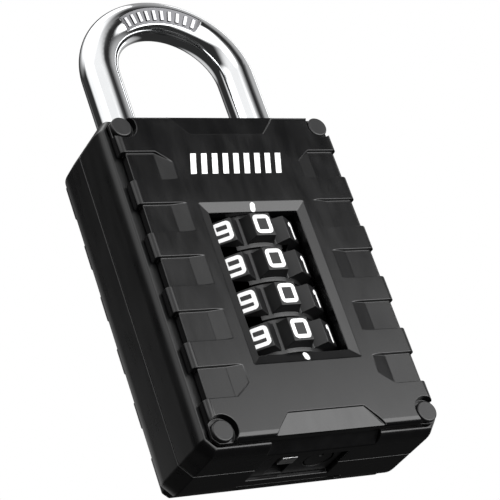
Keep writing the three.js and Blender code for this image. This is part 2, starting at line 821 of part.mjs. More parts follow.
/** The heights of the two screws that hold the dial cage. */
function cageScrewHeights() {
  return [stackBottom + earInset, stackTop - earInset];
}

/** The bent plate that holds the stack of dials. */
function dialCage() {
  const strapOuter = -cageStrapInner - cageThickness;
  const bottomHigh = stackBottom - seatGap / 2;
  const bottomLow = bottomHigh - cageThickness;
  const depthFront = axisY - cageHalfDepth;
  const depthBack = axisY + cageHalfDepth;
  const plates = [[bottomLow, bottomHigh], [cageTopLow, cageTopHigh]].map(([low, high]) => box(
    [strapOuter, depthFront, low], [cagePlateHalf, depthBack, high]));
  const strap = box([strapOuter, depthFront, bottomLow], [-cageStrapInner, depthBack, cageTopHigh]);
  const ears = cageScrewHeights().flatMap((z) => [
    box(
      [earMiddle - earReach / 2, earBack - cageThickness, z - earHeight / 2],
      [-cageStrapInner, earBack, z + earHeight / 2]),
    box(
      [strapOuter, depthBack - cutMargin, z - earHeight / 2],
      [-cageStrapInner, earBack, z + earHeight / 2]),
  ]);
  const holes = cageScrewHeights().map((z) => barY(cageScrewRadius + seatGap, earMiddle, z, 0, halfRim));
  return cut(join([...plates, strap, ...ears]), [
    ...holes,
    axisBar(gateReach, cageTopLow - cutMargin, cageTopHigh + cutMargin),
    axisBar(spindleRadius + runningGap, bottomLow - cutMargin, bottomHigh + cutMargin),
  ]);
}

/** A pan-head screw that fastens the dial cage to the rear shell. */
function cageScrew(z) {
  const seat = earBack - cageThickness - seatGap;
  return turnedY([
    [0, seat - cageScrewHeadHeight], [cageScrewHead, seat - cageScrewHeadHeight], [cageScrewHead, seat],
    [cageScrewRadius, seat], [cageScrewRadius, cageScrewTip], [0, cageScrewTip],
  ], earMiddle, z);
}

/** The comb of detent fingers, one nose in a valley of each dial. */
function detentComb() {
  const back = -cageStrapInner + seatGap;
  const front = back + combThickness;
  const strip = box(
    [back, axisY - combHalfWidth, stackBottom + seatGap],
    [front, axisY + combHalfWidth, stackTop - seatGap]);
  const noses = [];
  for (let index = 0; index < dialCount; index += 1) {
    const middle = dialLow(index) + (dialPitch - dialGap) / 2;
    noses.push(prismZ(outline([
      [back + combThickness / 2, axisY - noseBaseHalf], [-noseTip, axisY - noseTipHalf],
      [-noseTip, axisY + noseTipHalf], [back + combThickness / 2, axisY + noseBaseHalf],
    ]), middle - noseHeight / 2, middle + noseHeight / 2));
  }
  return strip.add(join(noses));
}

// -------------------------------------------------------- bottom fittings

/** The insert in the case's underside, with the slider's slot and the cam's hole. */
function bottomInsert() {
  const low = [insertLow + seatGap, -insertHalfDepth + seatGap, insertSink];
  const high = [insertHigh - seatGap, insertHalfDepth - seatGap, insertTop];
  const flange = box(
    [insertLow - insertFlange, -insertHalfDepth - insertFlange, insertTop - insertFlangeHeight],
    [insertHigh + insertFlange, insertHalfDepth + insertFlange, insertTop]);
  return cut(box(low, high).add(flange), [
    box([slotLow, -slotFront, -cutMargin], [slotLow + slotWidth, slotBack, insertTop + cutMargin]),
    barZ(camRadius + runningGap, camX, camY, -cutMargin, insertTop + cutMargin),
  ]);
}

/** The reset slider: a tab in the slot under a wider shutter. */
function resetSlider() {
  const tab = box(
    [slotLow + runningGap, -slotFront + runningGap, tabSink],
    [slotLow + slotWidth - runningGap, -slotFront + runningGap + tabLength, shutterLow + shutterHeight / 2]);
  const shutter = box(
    [slotLow - shutterMargin, -slotFront - shutterOverlap, shutterLow],
    [slotLow + slotWidth + shutterMargin, slotBack - shutterMargin, shutterLow + shutterHeight]);
  return tab.add(shutter);
}

/** The reset cam: a round key face below a flange and a lobe. */
function resetCam() {
  const flangeTop = shutterLow + camFlangeHeight;
  const face = barZ(camRadius, camX, camY, camSink, shutterLow + camFlangeHeight / 2);
  const flange = barZ(camFlangeRadius, camX, camY, shutterLow, flangeTop);
  const hub = barZ(camLobeHalf, camX, camY, shutterLow, flangeTop + camLobeHeight, smallSides);
  const lobe = box(
    [camX, camY - camLobeHalf, flangeTop - camFlangeHeight / 2],
    [camX + camLobeReach, camY + camLobeHalf, flangeTop + camLobeHeight]);
  const keyHole = barZ(
    camKeyRadius, camX, camY - camRadius / 2, camSink - cutMargin, camSink + camKeyDepth, smallSides);
  return join([face, flange, hub, lobe]).subtract(keyHole);
}

// ------------------------------------------------------------- assembly

const padlock = new THREE.Group();
padlock.add(piece('front_shell', frontShell(), caseBlack));
padlock.add(piece('rear_shell', rearShell(), caseBlack));
padlock.add(piece('front_plate', frontPlate(), plateBlack));
padlock.add(piece('rear_plate', rearPlate(), plateBlack));
for (const place of plugPlaces()) {
  padlock.add(piece(`plug_${place.corner}`, cornerPlug(place), plugBlack));
  padlock.add(piece(`case_screw_${place.corner}`, caseScrew(place), zincGrey));
}
padlock.add(piece('dial_cage', dialCage(), zincGrey));
cageScrewHeights().forEach((z, index) => {
  padlock.add(piece(['cage_screw_lower', 'cage_screw_upper'][index], cageScrew(z), zincGrey));
});
padlock.add(piece('detent_comb', detentComb(), springSteel));
for (let index = 0; index < dialCount; index += 1) {
  padlock.add(piece(`dial_${index + 1}`, dial(index), dialBlack));
  padlock.add(piece(`code_sleeve_${index + 1}`, codeSleeve(index), brass));
}
padlock.add(piece('shackle', shackle(), chrome));
padlock.add(piece('lift_bridge', liftBridge(), zincGrey));
padlock.add(piece('spindle', spindle(), zincGrey));
padlock.add(piece('spindle_clip', spindleClip(), springSteel));
padlock.add(piece('lift_spring', liftSpring(), springSteel));
padlock.add(piece('spring_post', springPost(), zincGrey));
padlock.add(piece('bottom_insert', bottomInsert(), plateBlack));
padlock.add(piece('reset_slider', resetSlider(), zincGrey));
padlock.add(piece('reset_cam', resetCam(), dialBlack));

export default padlock;
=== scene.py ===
"""A four-dial combination padlock: its visible pieces, their finishes and the studio."""

import logging
import math
from collections.abc import Iterable, Sequence
from dataclasses import dataclass
from enum import Enum

import bmesh
import bpy
from mathutils import Matrix, Vector


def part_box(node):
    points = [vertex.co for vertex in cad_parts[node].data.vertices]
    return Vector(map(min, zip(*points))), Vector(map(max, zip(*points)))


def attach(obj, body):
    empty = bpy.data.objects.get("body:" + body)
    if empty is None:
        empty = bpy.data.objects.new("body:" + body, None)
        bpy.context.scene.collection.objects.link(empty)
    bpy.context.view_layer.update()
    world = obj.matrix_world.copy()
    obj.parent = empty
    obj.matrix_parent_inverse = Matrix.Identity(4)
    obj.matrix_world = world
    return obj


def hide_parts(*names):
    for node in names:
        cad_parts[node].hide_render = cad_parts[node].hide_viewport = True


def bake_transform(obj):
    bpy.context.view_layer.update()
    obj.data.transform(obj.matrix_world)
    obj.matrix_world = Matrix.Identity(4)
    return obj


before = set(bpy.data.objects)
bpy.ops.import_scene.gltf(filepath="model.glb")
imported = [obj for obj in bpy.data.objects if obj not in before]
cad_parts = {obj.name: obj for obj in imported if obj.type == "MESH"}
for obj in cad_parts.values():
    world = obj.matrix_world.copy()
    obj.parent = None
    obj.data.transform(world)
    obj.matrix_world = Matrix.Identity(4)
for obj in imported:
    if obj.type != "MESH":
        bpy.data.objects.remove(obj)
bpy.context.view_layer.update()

MM = 0.001
WIDE_SIDES = 64
HOLE_SIDES = 32
THIN_SIDES = 24

Point2 = tuple[float, float]
Point3 = tuple[float, float, float]
Colour = tuple[float, float, float]

log = logging.getLogger("padlock")


class Axis(Enum):
    """The line that a prism is pushed along or a piece is turned about."""

    X = 0
    Y = 1
    Z = 2


class Cut(Enum):
    """What a tool solid does to the solid that it meets."""

    AWAY = "DIFFERENCE"
    JOIN = "UNION"
    COMMON = "INTERSECT"


# ---------------------------------------------------------------- workbench


class Bench:
    """Makes, cuts and softens closed meshes. Every size given to it is in millimetres."""

    copied_weld = 0.001
    worked_weld = 0.002
    flat_degrees = 0.6
    shade_weight = 60

    @staticmethod
    def place(axis: Axis, first: float, second: float, along: float) -> Point3:
        """Puts a point of an outline into space.

        Args:
            axis: The axis that the outline is pushed along.
            first: The outline's first coordinate.
            second: The outline's second coordinate.
            along: The place on the axis.

        Returns:
            The point as X, Y and Z.
        """
        spots = {
            Axis.X: (along, first, second),
            Axis.Y: (first, along, second),
            Axis.Z: (first, second, along),
        }
        return spots[axis]

    @staticmethod
    def keep(name: str, work: bmesh.types.BMesh) -> bpy.types.Object:
        """Turns a working mesh into a linked object.

        Args:
            name: The object's name.
            work: The working mesh, in metres. It is freed.

        Returns:
            The new object, at the origin.
        """
        mesh = bpy.data.meshes.new(name)
        work.to_mesh(mesh)
        work.free()
        made = bpy.data.objects.new(name, mesh)
        bpy.context.scene.collection.objects.link(made)
        return made

    @staticmethod
    def loft(name: str, rings: Sequence[Sequence[Point3]], joined: bool = False) -> bpy.types.Object:
        """Joins rings of points into a closed body.

        Args:
            name: The object's name.
            rings: The rings in order, all with the same number of points.
            joined: Whether the last ring meets the first, in place of two end caps.

        Returns:
            The closed body.
        """
        work = bmesh.new()
        loops = [[work.verts.new(Vector(point) * MM) for point in ring] for ring in rings]
        count = len(loops[0])
        pairs = list(zip(loops, loops[1:]))
        if joined:
            pairs.append((loops[-1], loops[0]))
        for near, far in pairs:
            for index in range(count):
                after = (index + 1) % count
                work.faces.new((near[index], near[after], far[after], far[index]))
        if not joined:
            work.faces.new(loops[0])
            work.faces.new(loops[-1])
        bmesh.ops.recalc_face_normals(work, faces=work.faces)
        return Bench.keep(name, work)

    @staticmethod
    def prism(name: str, axis: Axis, outline: Sequence[Point2], low: float, high: float) -> bpy.types.Object:
        """Pushes an outline along an axis.

        Args:
            name: The object's name.
            axis: The axis that the outline is pushed along.
            outline: The outline's corners.
            low: Where the prism starts.
            high: Where it ends.

        Returns:
            The closed prism.
        """
        rings = [[Bench.place(axis, a, b, level) for a, b in outline] for level in (low, high)]
        return Bench.loft(name, rings)

    @staticmethod
    def block(name: str, low: Point3, high: Point3) -> bpy.types.Object:
        """Makes a straight-sided tool block between two corners.

        Args:
            name: The object's name.
            low: The lowest corner.
            high: The highest corner.

        Returns:
            The closed block.
        """
        outline = [(low[0], low[1]), (high[0], low[1]), (high[0], high[1]), (low[0], high[1])]
        return Bench.prism(name, Axis.Z, outline, low[2], high[2])

    @staticmethod
    def turned(
        name: str,
        axis: Axis,
        centre: Point2,
        profile: Sequence[Point2],
        sides: int = 48,
        joined: bool = False,
    ) -> bpy.types.Object:
        """Turns a profile about a line.

        Args:
            name: The object's name.
            axis: The direction of the line.
            centre: Where the line crosses the plane of the other two axes.
            profile: Pairs of radius and place along the line.
            sides: How many sides the round has.
            joined: Whether the profile closes on itself, as for a ring.

        Returns:
            The closed turned piece.
        """
        rings = []
        for radius, along in profile:
            ring = []
            for index in range(sides):
                angle = (index + 0.5) / sides * math.tau
                first = centre[0] + radius * math.cos(angle)
                second = centre[1] + radius * math.sin(angle)
                ring.append(Bench.place(axis, first, second, along))
            rings.append(ring)
        return Bench.loft(name, rings, joined)

    @staticmethod
    def inset(outline: Sequence[Point2], amount: float) -> list[Point2]:
        """Moves every side of a convex outline inwards.

        Args:
            outline: The corners, anticlockwise.
            amount: How far the sides move.

        Returns:
            The new corners, one for each old one.
        """
        count = len(outline)
        lines = []
        for index in range(count):
            start, end = Vector(outline[index]), Vector(outline[(index + 1) % count])
            run = (end - start).normalized()
            lines.append((start + Vector((-run.y, run.x)) * amount, run))
        corners = []
        for index in range(count):
            (p, r), (q, s) = lines[index - 1], lines[index]
            share = (q - p).cross(s) / r.cross(s)
            corners.append(tuple(p + r * share))
        return corners

    @staticmethod
    def settle(target: bpy.types.Object) -> None:
        """Bakes an object's modifiers into its own mesh."""
        bpy.context.view_layer.update()
        ready = target.evaluated_get(bpy.context.evaluated_depsgraph_get())
        mesh = bpy.data.meshes.new_from_object(ready)
        target.modifiers.clear()
        spent = target.data
        target.data = mesh
        mesh.name = target.name
        bpy.data.meshes.remove(spent)

    @staticmethod
    def carve(
        target: bpy.types.Object, tools: Iterable[bpy.types.Object], cut: Cut = Cut.AWAY
    ) -> bpy.types.Object:
        """Works tool solids into a target, one after the other.

        Args:
            target: The solid that is changed.
            tools: The tool solids, which are used up.
            cut: What the tools do.

        Returns:
            The target.
        """
        used = list(tools)
        for tool in used:
            step = target.modifiers.new("cut", "BOOLEAN")
            step.operation = cut.value
            step.solver = "EXACT"
            step.object = tool
        Bench.settle(target)
        for tool in used:
            bpy.data.objects.remove(tool)
        return target

    @staticmethod
    def tidy(target: bpy.types.Object) -> None:
        """Merges doubled points and dissolves the lines that cross a flat face."""
        work = bmesh.new()
        work.from_mesh(target.data)
        bmesh.ops.remove_doubles(work, verts=work.verts, dist=Bench.worked_weld * MM)
        bmesh.ops.dissolve_limit(
            work, angle_limit=math.radians(Bench.flat_degrees), verts=work.verts, edges=work.edges
        )
        work.to_mesh(target.data)
        work.free()

    @staticmethod
    def soften(
        target: bpy.types.Object, width: float, angle: float = 30, segments: int = 3
    ) -> bpy.types.Object:
        """Rounds the edges of a finished shape and smooths its shading.

        Args:
            target: The shape.
            width: How wide the rounded edge is.
            angle: The smallest angle, in degrees, of an edge that is rounded.
            segments: How many strips make the round.

        Returns:
            The target.
        """
        Bench.tidy(target)
        target.data.shade_smooth()
        rounding = target.modifiers.new("edge", "BEVEL")
        rounding.width = width * MM
        rounding.segments = segments
        rounding.limit_method = "ANGLE"
        rounding.angle_limit = math.radians(angle)
        rounding.use_clamp_overlap = False
        rounding.miter_outer = "MITER_ARC"
        weighting = target.modifiers.new("shade", "WEIGHTED_NORMAL")
        weighting.keep_sharp = False
        weighting.weight = Bench.shade_weight
        Bench.settle(target)
        return target

    @staticmethod
    def copy_of(node: str, name: str) -> bpy.types.Object:
        """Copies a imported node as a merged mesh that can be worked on.

        Args:
            node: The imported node.
            name: The copy's name.

        Returns:
            The copy.
        """
        work = bmesh.new()
        work.from_mesh(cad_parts[node].data)
        bmesh.ops.remove_doubles(work, verts=work.verts, dist=Bench.copied_weld * MM)
        return Bench.keep(name, work)


class Recipe:
    """A Geometry Nodes tree with named inputs that ends in plain, dressed geometry."""

    def __init__(self, name: str) -> None:
        """Starts a tree with its way in and its way out."""
        self.tree = bpy.data.node_groups.new(name, "GeometryNodeTree")
        for side in ("INPUT", "OUTPUT"):
            self.tree.interface.new_socket("Geometry", in_out=side, socket_type="NodeSocketGeometry")
        self.entry = self.tree.nodes.new("NodeGroupInput")
        self.exit = self.tree.nodes.new("NodeGroupOutput")
        self.values: dict[str, float | int] = {}

    def size(self, name: str, value: float | int, kind: str = "NodeSocketFloat") -> bpy.types.NodeSocket:
        """Adds a named input.

        Args:
            name: The input's name.
            value: What it is set to when the tree runs.
            kind: The kind of socket.

        Returns:
            The socket inside the tree.
        """
        made = self.tree.interface.new_socket(name, in_out="INPUT", socket_type=kind)
        self.values[made.identifier] = value
        return self.entry.outputs[name]

    def node(self, kind: str, **settings: object) -> bpy.types.Node:
        """Adds a node with its settings."""
        made = self.tree.nodes.new(kind)
        for name, value in settings.items():
            setattr(made, name, value)
        return made

    def link(self, source: bpy.types.NodeSocket, target: bpy.types.NodeSocket) -> None:
        """Joins two sockets."""
        self.tree.links.new(source, target)

    def close(self, geometry: bpy.types.NodeSocket, material: bpy.types.Material) -> None:
        """Ends the tree in Realize Instances and Set Material."""
        real = self.node("GeometryNodeRealizeInstances")
        dressed = self.node("GeometryNodeSetMaterial")
        dressed.inputs["Material"].default_value = material
        self.link(geometry, real.inputs["Geometry"])
        self.link(real.outputs["Geometry"], dressed.inputs["Geometry"])
        self.link(dressed.outputs["Geometry"], self.exit.inputs["Geometry"])

    def run(self, target: bpy.types.Object) -> bpy.types.Object:
        """Runs the tree on an object and keeps the result as its plain mesh.

        Args:
            target: The object whose mesh the tree takes in.

        Returns:
            The same object with its new mesh.
        """
        step = target.modifiers.new(self.tree.name, "NODES")
        step.node_group = self.tree
        for identifier, value in self.values.items():
            step[identifier] = value
        Bench.settle(target)
        return target


def repeat_recipe(
    name: str, count: int, turn: float, step: Point3, material: bpy.types.Material
) -> Recipe:
    """Makes a tree that repeats what it is given, turned about Z and moved at each step.

    Args:
        name: The tree's name.
        count: How many copies there are.
        turn: The turn from one copy to the next, in degrees.
        step: The move from one copy to the next, in millimetres.
        material: The finish of the copies.

    Returns:
        The tree, ready to run.
    """
    recipe = Recipe(name)
    counted = recipe.size("Count", count, "NodeSocketInt")
    turned = recipe.size("Turn", math.radians(turn))
    moves = [recipe.size(f"Step {letter}", part * MM) for letter, part in zip("XYZ", step)]
    points = recipe.node("GeometryNodePoints")
    recipe.link(counted, points.inputs["Count"])
    index = recipe.node("GeometryNodeInputIndex")
    offset = recipe.node("ShaderNodeCombineXYZ")
    for move, target in zip(moves, offset.inputs):
        scaled = recipe.node("ShaderNodeMath", operation="MULTIPLY")
        recipe.link(index.outputs[0], scaled.inputs[0])
        recipe.link(move, scaled.inputs[1])
        recipe.link(scaled.outputs[0], target)
    recipe.link(offset.outputs[0], points.inputs["Position"])
    angle = recipe.node("ShaderNodeMath", operation="MULTIPLY")
    recipe.link(index.outputs[0], angle.inputs[0])
    recipe.link(turned, angle.inputs[1])
    spin = recipe.node("ShaderNodeCombineXYZ")
    recipe.link(angle.outputs[0], spin.inputs["Z"])
    copies = recipe.node("GeometryNodeInstanceOnPoints")
    recipe.link(points.outputs[0], copies.inputs["Points"])
    recipe.link(recipe.entry.outputs["Geometry"], copies.inputs["Instance"])
    recipe.link(spin.outputs[0], copies.inputs["Rotation"])
    recipe.close(copies.outputs["Instances"], material)
    return recipe


def sweep_recipe(name: str, radius: float, sides: int, material: bpy.types.Material) -> Recipe:
    """Makes a tree that sweeps a round section along the path that it is given.

    Args:
        name: The tree's name.
        radius: The section's radius in millimetres.
        sides: How many sides the section has.
        material: The finish of the rod.

    Returns:
        The tree, ready to run.
    """
    recipe = Recipe(name)
    wide = recipe.size("Radius", radius * MM)
    fine = recipe.size("Sides", sides, "NodeSocketInt")
    path = recipe.node("GeometryNodeMeshToCurve")
    section = recipe.node("GeometryNodeCurvePrimitiveCircle")
    rod = recipe.node("GeometryNodeCurveToMesh")
    rod.inputs["Fill Caps"].default_value = True
    recipe.link(recipe.entry.outputs["Geometry"], path.inputs["Mesh"])
    recipe.link(fine, section.inputs["Resolution"])
    recipe.link(wide, section.inputs["Radius"])
    recipe.link(path.outputs["Curve"], rod.inputs["Curve"])
    recipe.link(section.outputs["Curve"], rod.inputs["Profile Curve"])
    recipe.close(rod.outputs["Mesh"], material)
    return recipe


def rib_recipe(
    name: str, count: int, size: Point3, lean: float, material: bpy.types.Material
) -> Recipe:
    """Makes a tree that sets bars evenly along the path that it is given, square to it.

    Args:
        name: The tree's name.
        count: How many bars there are.
        size: A bar's size along the path, across the surface and over the path, in millimetres.
        lean: How far each bar is turned about the path, in degrees.
        material: The finish of the bars.

    Returns:
        The tree, ready to run.
    """
    recipe = Recipe(name)
    counted = recipe.size("Count", count, "NodeSocketInt")
    sizes = [recipe.size(word, part * MM) for word, part in zip(("Along", "Proud", "Across"), size)]
    path = recipe.node("GeometryNodeMeshToCurve")
    spread = recipe.node("GeometryNodeCurveToPoints", mode="COUNT")
    recipe.link(recipe.entry.outputs["Geometry"], path.inputs["Mesh"])
    recipe.link(path.outputs["Curve"], spread.inputs["Curve"])
    recipe.link(counted, spread.inputs["Count"])
    measure = recipe.node("ShaderNodeCombineXYZ")
    for source, target in zip(sizes, measure.inputs):
        recipe.link(source, target)
    bar = recipe.node("GeometryNodeMeshCube")
    recipe.link(measure.outputs[0], bar.inputs["Size"])
    aligned = recipe.node("FunctionNodeAlignRotationToVector", axis="X", pivot_axis="Y")
    recipe.link(spread.outputs["Tangent"], aligned.inputs["Vector"])
    leaning = recipe.node("FunctionNodeRotateRotation", rotation_space="LOCAL")
    leaning.inputs["Rotate By"].default_value = (math.radians(lean), 0, 0)
    recipe.link(aligned.outputs["Rotation"], leaning.inputs["Rotation"])
    copies = recipe.node("GeometryNodeInstanceOnPoints")
    recipe.link(spread.outputs["Points"], copies.inputs["Points"])
    recipe.link(bar.outputs["Mesh"], copies.inputs["Instance"])
    recipe.link(leaning.outputs["Rotation"], copies.inputs["Rotation"])
    recipe.close(copies.outputs["Instances"], material)
    return recipe


def coil_recipe(
    name: str, radius: float, wire: float, height: float, coils: float, material: bpy.types.Material
) -> Recipe:
    """Makes a tree that winds a round wire into a coil spring.

    Args:
        name: The tree's name.
        radius: The coil's mean radius in millimetres.
        wire: The wire's diameter.
        height: The height between the middles of the end turns.
        coils: How many turns there are.
        material: The finish of the wire.

    Returns:
        The tree, ready to run.
    """
    recipe = Recipe(name)
    spiral = recipe.node("GeometryNodeCurveSpiral")
    recipe.link(recipe.size("Coils", coils), spiral.inputs["Rotations"])
    for end in ("Start Radius", "End Radius"):
        recipe.link(recipe.size(end, radius * MM), spiral.inputs[end])
    recipe.link(recipe.size("Height", height * MM), spiral.inputs["Height"])
    recipe.link(recipe.size("Steps in a coil", 32, "NodeSocketInt"), spiral.inputs["Resolution"])
    section = recipe.node("GeometryNodeCurvePrimitiveCircle")
    recipe.link(recipe.size("Wire sides", 14, "NodeSocketInt"), section.inputs["Resolution"])
    recipe.link(recipe.size("Wire radius", wire / 2 * MM), section.inputs["Radius"])
    coil = recipe.node("GeometryNodeCurveToMesh")
    coil.inputs["Fill Caps"].default_value = True
    recipe.link(spiral.outputs["Curve"], coil.inputs["Curve"])
    recipe.link(section.outputs["Curve"], coil.inputs["Profile Curve"])
    recipe.close(coil.outputs["Mesh"], material)
    return recipe


# ----------------------------------------------------------------- finishes


class Sketch:
    """A node material in the making, on the piece's own coordinates."""

    tint_start = 0.32
    tint_end = 0.68

    def __init__(self, name: str, roughness: float, metallic: float, colour: Colour) -> None:
        """Starts a material with its shader's plain values."""
        self.material = bpy.data.materials.new(name)
        self.material.use_nodes = True
        self.nodes = self.material.node_tree.nodes
        self.links = self.material.node_tree.links
        self.shader = self.nodes["Principled BSDF"]
        self.shader.inputs["Base Color"].default_value = (*colour, 1)
        self.shader.inputs["Roughness"].default_value = roughness
        self.shader.inputs["Metallic"].default_value = metallic
        self.coords = self.nodes.new("ShaderNodeTexCoord").outputs["Object"]

    def noise(self, size: float, detail: float = 3, stretch: Point3 = (1, 1, 1)) -> bpy.types.NodeSocket:
        """Adds a noise pattern.

        Args:
            size: The size of its patches in millimetres.
            detail: How many finer layers it has.
            stretch: How the pattern is squeezed along X, Y and Z.

        Returns:
            The pattern's value.
        """
        mapping = self.nodes.new("ShaderNodeMapping")
        mapping.inputs["Scale"].default_value = stretch
        pattern = self.nodes.new("ShaderNodeTexNoise")
        pattern.inputs["Scale"].default_value = 1 / (size * MM)
        pattern.inputs["Detail"].default_value = detail
        self.links.new(self.coords, mapping.inputs["Vector"])
        self.links.new(mapping.outputs["Vector"], pattern.inputs["Vector"])
        return pattern.outputs["Fac"]

    def span(
        self, source: bpy.types.NodeSocket, low: float, high: float, start: float = 0.3, end: float = 0.7
    ) -> bpy.types.NodeSocket:
        """Spreads part of a pattern over a range of values."""
        spread = self.nodes.new("ShaderNodeMapRange")
        for name, value in (("From Min", start), ("From Max", end), ("To Min", low), ("To Max", high)):
            spread.inputs[name].default_value = value
        self.links.new(source, spread.inputs["Value"])
        return spread.outputs["Result"]

    def add(self, first: bpy.types.NodeSocket, second: bpy.types.NodeSocket) -> bpy.types.NodeSocket:
        """Adds two patterns."""
        total = self.nodes.new("ShaderNodeMath")
        total.operation = "ADD"
        self.links.new(first, total.inputs[0])
        self.links.new(second, total.inputs[1])
        return total.outputs[0]

    def tint(self, source: bpy.types.NodeSocket, dark: Colour, light: Colour) -> None:
        """Colours the surface between two shades by a pattern."""
        ramp = self.nodes.new("ShaderNodeValToRGB")
        ramp.color_ramp.elements[0].position = self.tint_start
        ramp.color_ramp.elements[1].position = self.tint_end
        ramp.color_ramp.elements[0].color = (*dark, 1)
        ramp.color_ramp.elements[1].color = (*light, 1)
        self.links.new(source, ramp.inputs["Fac"])
        self.links.new(ramp.outputs["Color"], self.shader.inputs["Base Color"])

    def gloss(self, source: bpy.types.NodeSocket) -> None:
        """Drives the roughness by a pattern."""
        self.links.new(source, self.shader.inputs["Roughness"])

    def relief(self, source: bpy.types.NodeSocket, height: float, strength: float) -> None:
        """Raises the surface by a pattern of the given height in millimetres."""
        bump = self.nodes.new("ShaderNodeBump")
        bump.inputs["Strength"].default_value = strength
        bump.inputs["Distance"].default_value = height * MM
        self.links.new(source, bump.inputs["Height"])
        self.links.new(bump.outputs["Normal"], self.shader.inputs["Normal"])


@dataclass(frozen=True)
class MouldedPlastic:
    """Black moulded plastic with a fine spark-eroded grain and faint rubbing."""

    name: str
    colour: Colour = (0.003, 0.003, 0.0032)
    roughness: float = 0.19
    grain: float = 0.16
    grain_height: float = 0.006
    grain_strength: float = 0.22
    mottle: float = 0.25
    cloud: float = 9
    rub_size: float = 2.2
    broad_size: float = 14
    rub: float = 0.035

    def build(self) -> bpy.types.Material:
        """Makes the material."""
        sketch = Sketch(self.name, self.roughness, 0, self.colour)
        cloud = sketch.noise(self.cloud, 4)
        dark = tuple(part * (1 - self.mottle) for part in self.colour)
        light = tuple(part * (1 + self.mottle) for part in self.colour)
        sketch.tint(cloud, dark, light)
        rub = sketch.span(sketch.noise(self.rub_size, 5, (1, 1, 0.25)), -self.rub, self.rub)
        broad = sketch.span(sketch.noise(self.broad_size, 2), self.roughness - 0.02, self.roughness + 0.03)
        sketch.gloss(sketch.add(rub, broad))
        sketch.relief(sketch.noise(self.grain, 2), self.grain_height, self.grain_strength)
        return sketch.material


@dataclass(frozen=True)
class PolishedChrome:
    """Bright chrome plate over drawn steel, with faint draw lines and haze."""

    name: str
    colour: Colour = (0.80, 0.81, 0.82)
    roughness: float = 0.045
    haze: float = 0.03
    dulling: float = 0.96

    def build(self) -> bpy.types.Material:
        """Makes the material."""
        sketch = Sketch(self.name, self.roughness, 1, self.colour)
        haze = sketch.noise(5, 4)
        sketch.tint(haze, tuple(part * self.dulling for part in self.colour), self.colour)
        lines = sketch.span(sketch.noise(0.5, 3, (1, 1, 0.06)), 0, self.haze, 0.45, 0.75)
        sketch.gloss(sketch.add(sketch.span(haze, self.roughness, self.roughness + self.haze), lines))
        sketch.relief(sketch.noise(2.4, 2), 0.004, 0.12)
        return sketch.material


@dataclass(frozen=True)
class WorkedMetal:
    """Metal with tool marks that run one way: brushed, turned, drawn or tumbled."""

    name: str
    colour: Colour
    roughness: float
    stretch: Point3 = (1, 1, 1)
    mark: float = 0.5
    mark_height: float = 0.01
    mark_strength: float = 0.25
    wear: float = 0.06
    stain: float = 0.12

    def build(self) -> bpy.types.Material:
        """Makes the material."""
        sketch = Sketch(self.name, self.roughness, 1, self.colour)
        cloud = sketch.noise(3.5, 4)
        dark = tuple(part * (1 - self.stain) for part in self.colour)
        sketch.tint(cloud, dark, self.colour)
        marks = sketch.noise(self.mark, 4, self.stretch)
        worn = sketch.span(marks, -self.wear, self.wear)
        sketch.gloss(sketch.add(worn, sketch.span(cloud, self.roughness, self.roughness + 0.05)))
        sketch.relief(marks, self.mark_height, self.mark_strength)
        return sketch.material


@dataclass(frozen=True)
class PrintInk:
    """White ink printed on plastic, a little thinner in places."""

    name: str
    colour: Colour = (0.86, 0.86, 0.86)
    roughness: float = 0.5
    thinning: float = 0.93

    def build(self) -> bpy.types.Material:
        """Makes the material."""
        sketch = Sketch(self.name, self.roughness, 0, self.colour)
        thin = tuple(part * self.thinning for part in self.colour)
        sketch.tint(sketch.noise(1.6, 3), thin, self.colour)
        sketch.gloss(sketch.span(sketch.noise(0.8, 3), 0.42, 0.55))
        sketch.relief(sketch.noise(0.2, 2), 0.004, 0.3)
        return sketch.material


class Palette:
    """Every finish of the lock, made once."""

    def __init__(self) -> None:
        """Makes the materials."""
        self.case = MouldedPlastic("case_plastic", (0.0024, 0.0024, 0.0026), 0.29, 0.2).build()
        self.plate = MouldedPlastic("armour_plastic").build()
        self.plug = MouldedPlastic("plug_plastic", (0.006, 0.006, 0.0063), 0.38, 0.12).build()
        self.dial = MouldedPlastic("dial_plastic", (0.005, 0.005, 0.0053), 0.42, 0.12).build()
        self.insert = MouldedPlastic("insert_plastic", (0.0035, 0.0035, 0.0037), 0.42, 0.14).build()
        self.ink = PrintInk("digit_print").build()
        self.chrome = PolishedChrome("shackle_chrome").build()
        self.band = WorkedMetal("band_satin", (0.09, 0.09, 0.094), 0.24, (1, 1, 1), 0.3, 0.006).build()
        self.rib = WorkedMetal("rib_bright", (0.3, 0.3, 0.31), 0.2, (1, 1, 1), 0.3, 0.006).build()
        self.slider = WorkedMetal("slider_bright", (0.80, 0.80, 0.80), 0.26, (0.2, 1, 1), 0.4).build()
        self.steel = WorkedMetal("fitting_steel", (0.50, 0.51, 0.53), 0.32, (1, 1, 0.3), 0.5).build()
        self.spring = WorkedMetal("spring_steel", (0.46, 0.47, 0.50), 0.26, (1, 1, 1), 0.3).build()
        self.brass = WorkedMetal("sleeve_brass", (0.60, 0.42, 0.17), 0.3, (1, 1, 4), 0.6).build()
        self.cage = WorkedMetal("cage_steel", (0.40, 0.41, 0.43), 0.36, (0.3, 1, 1), 0.6).build()


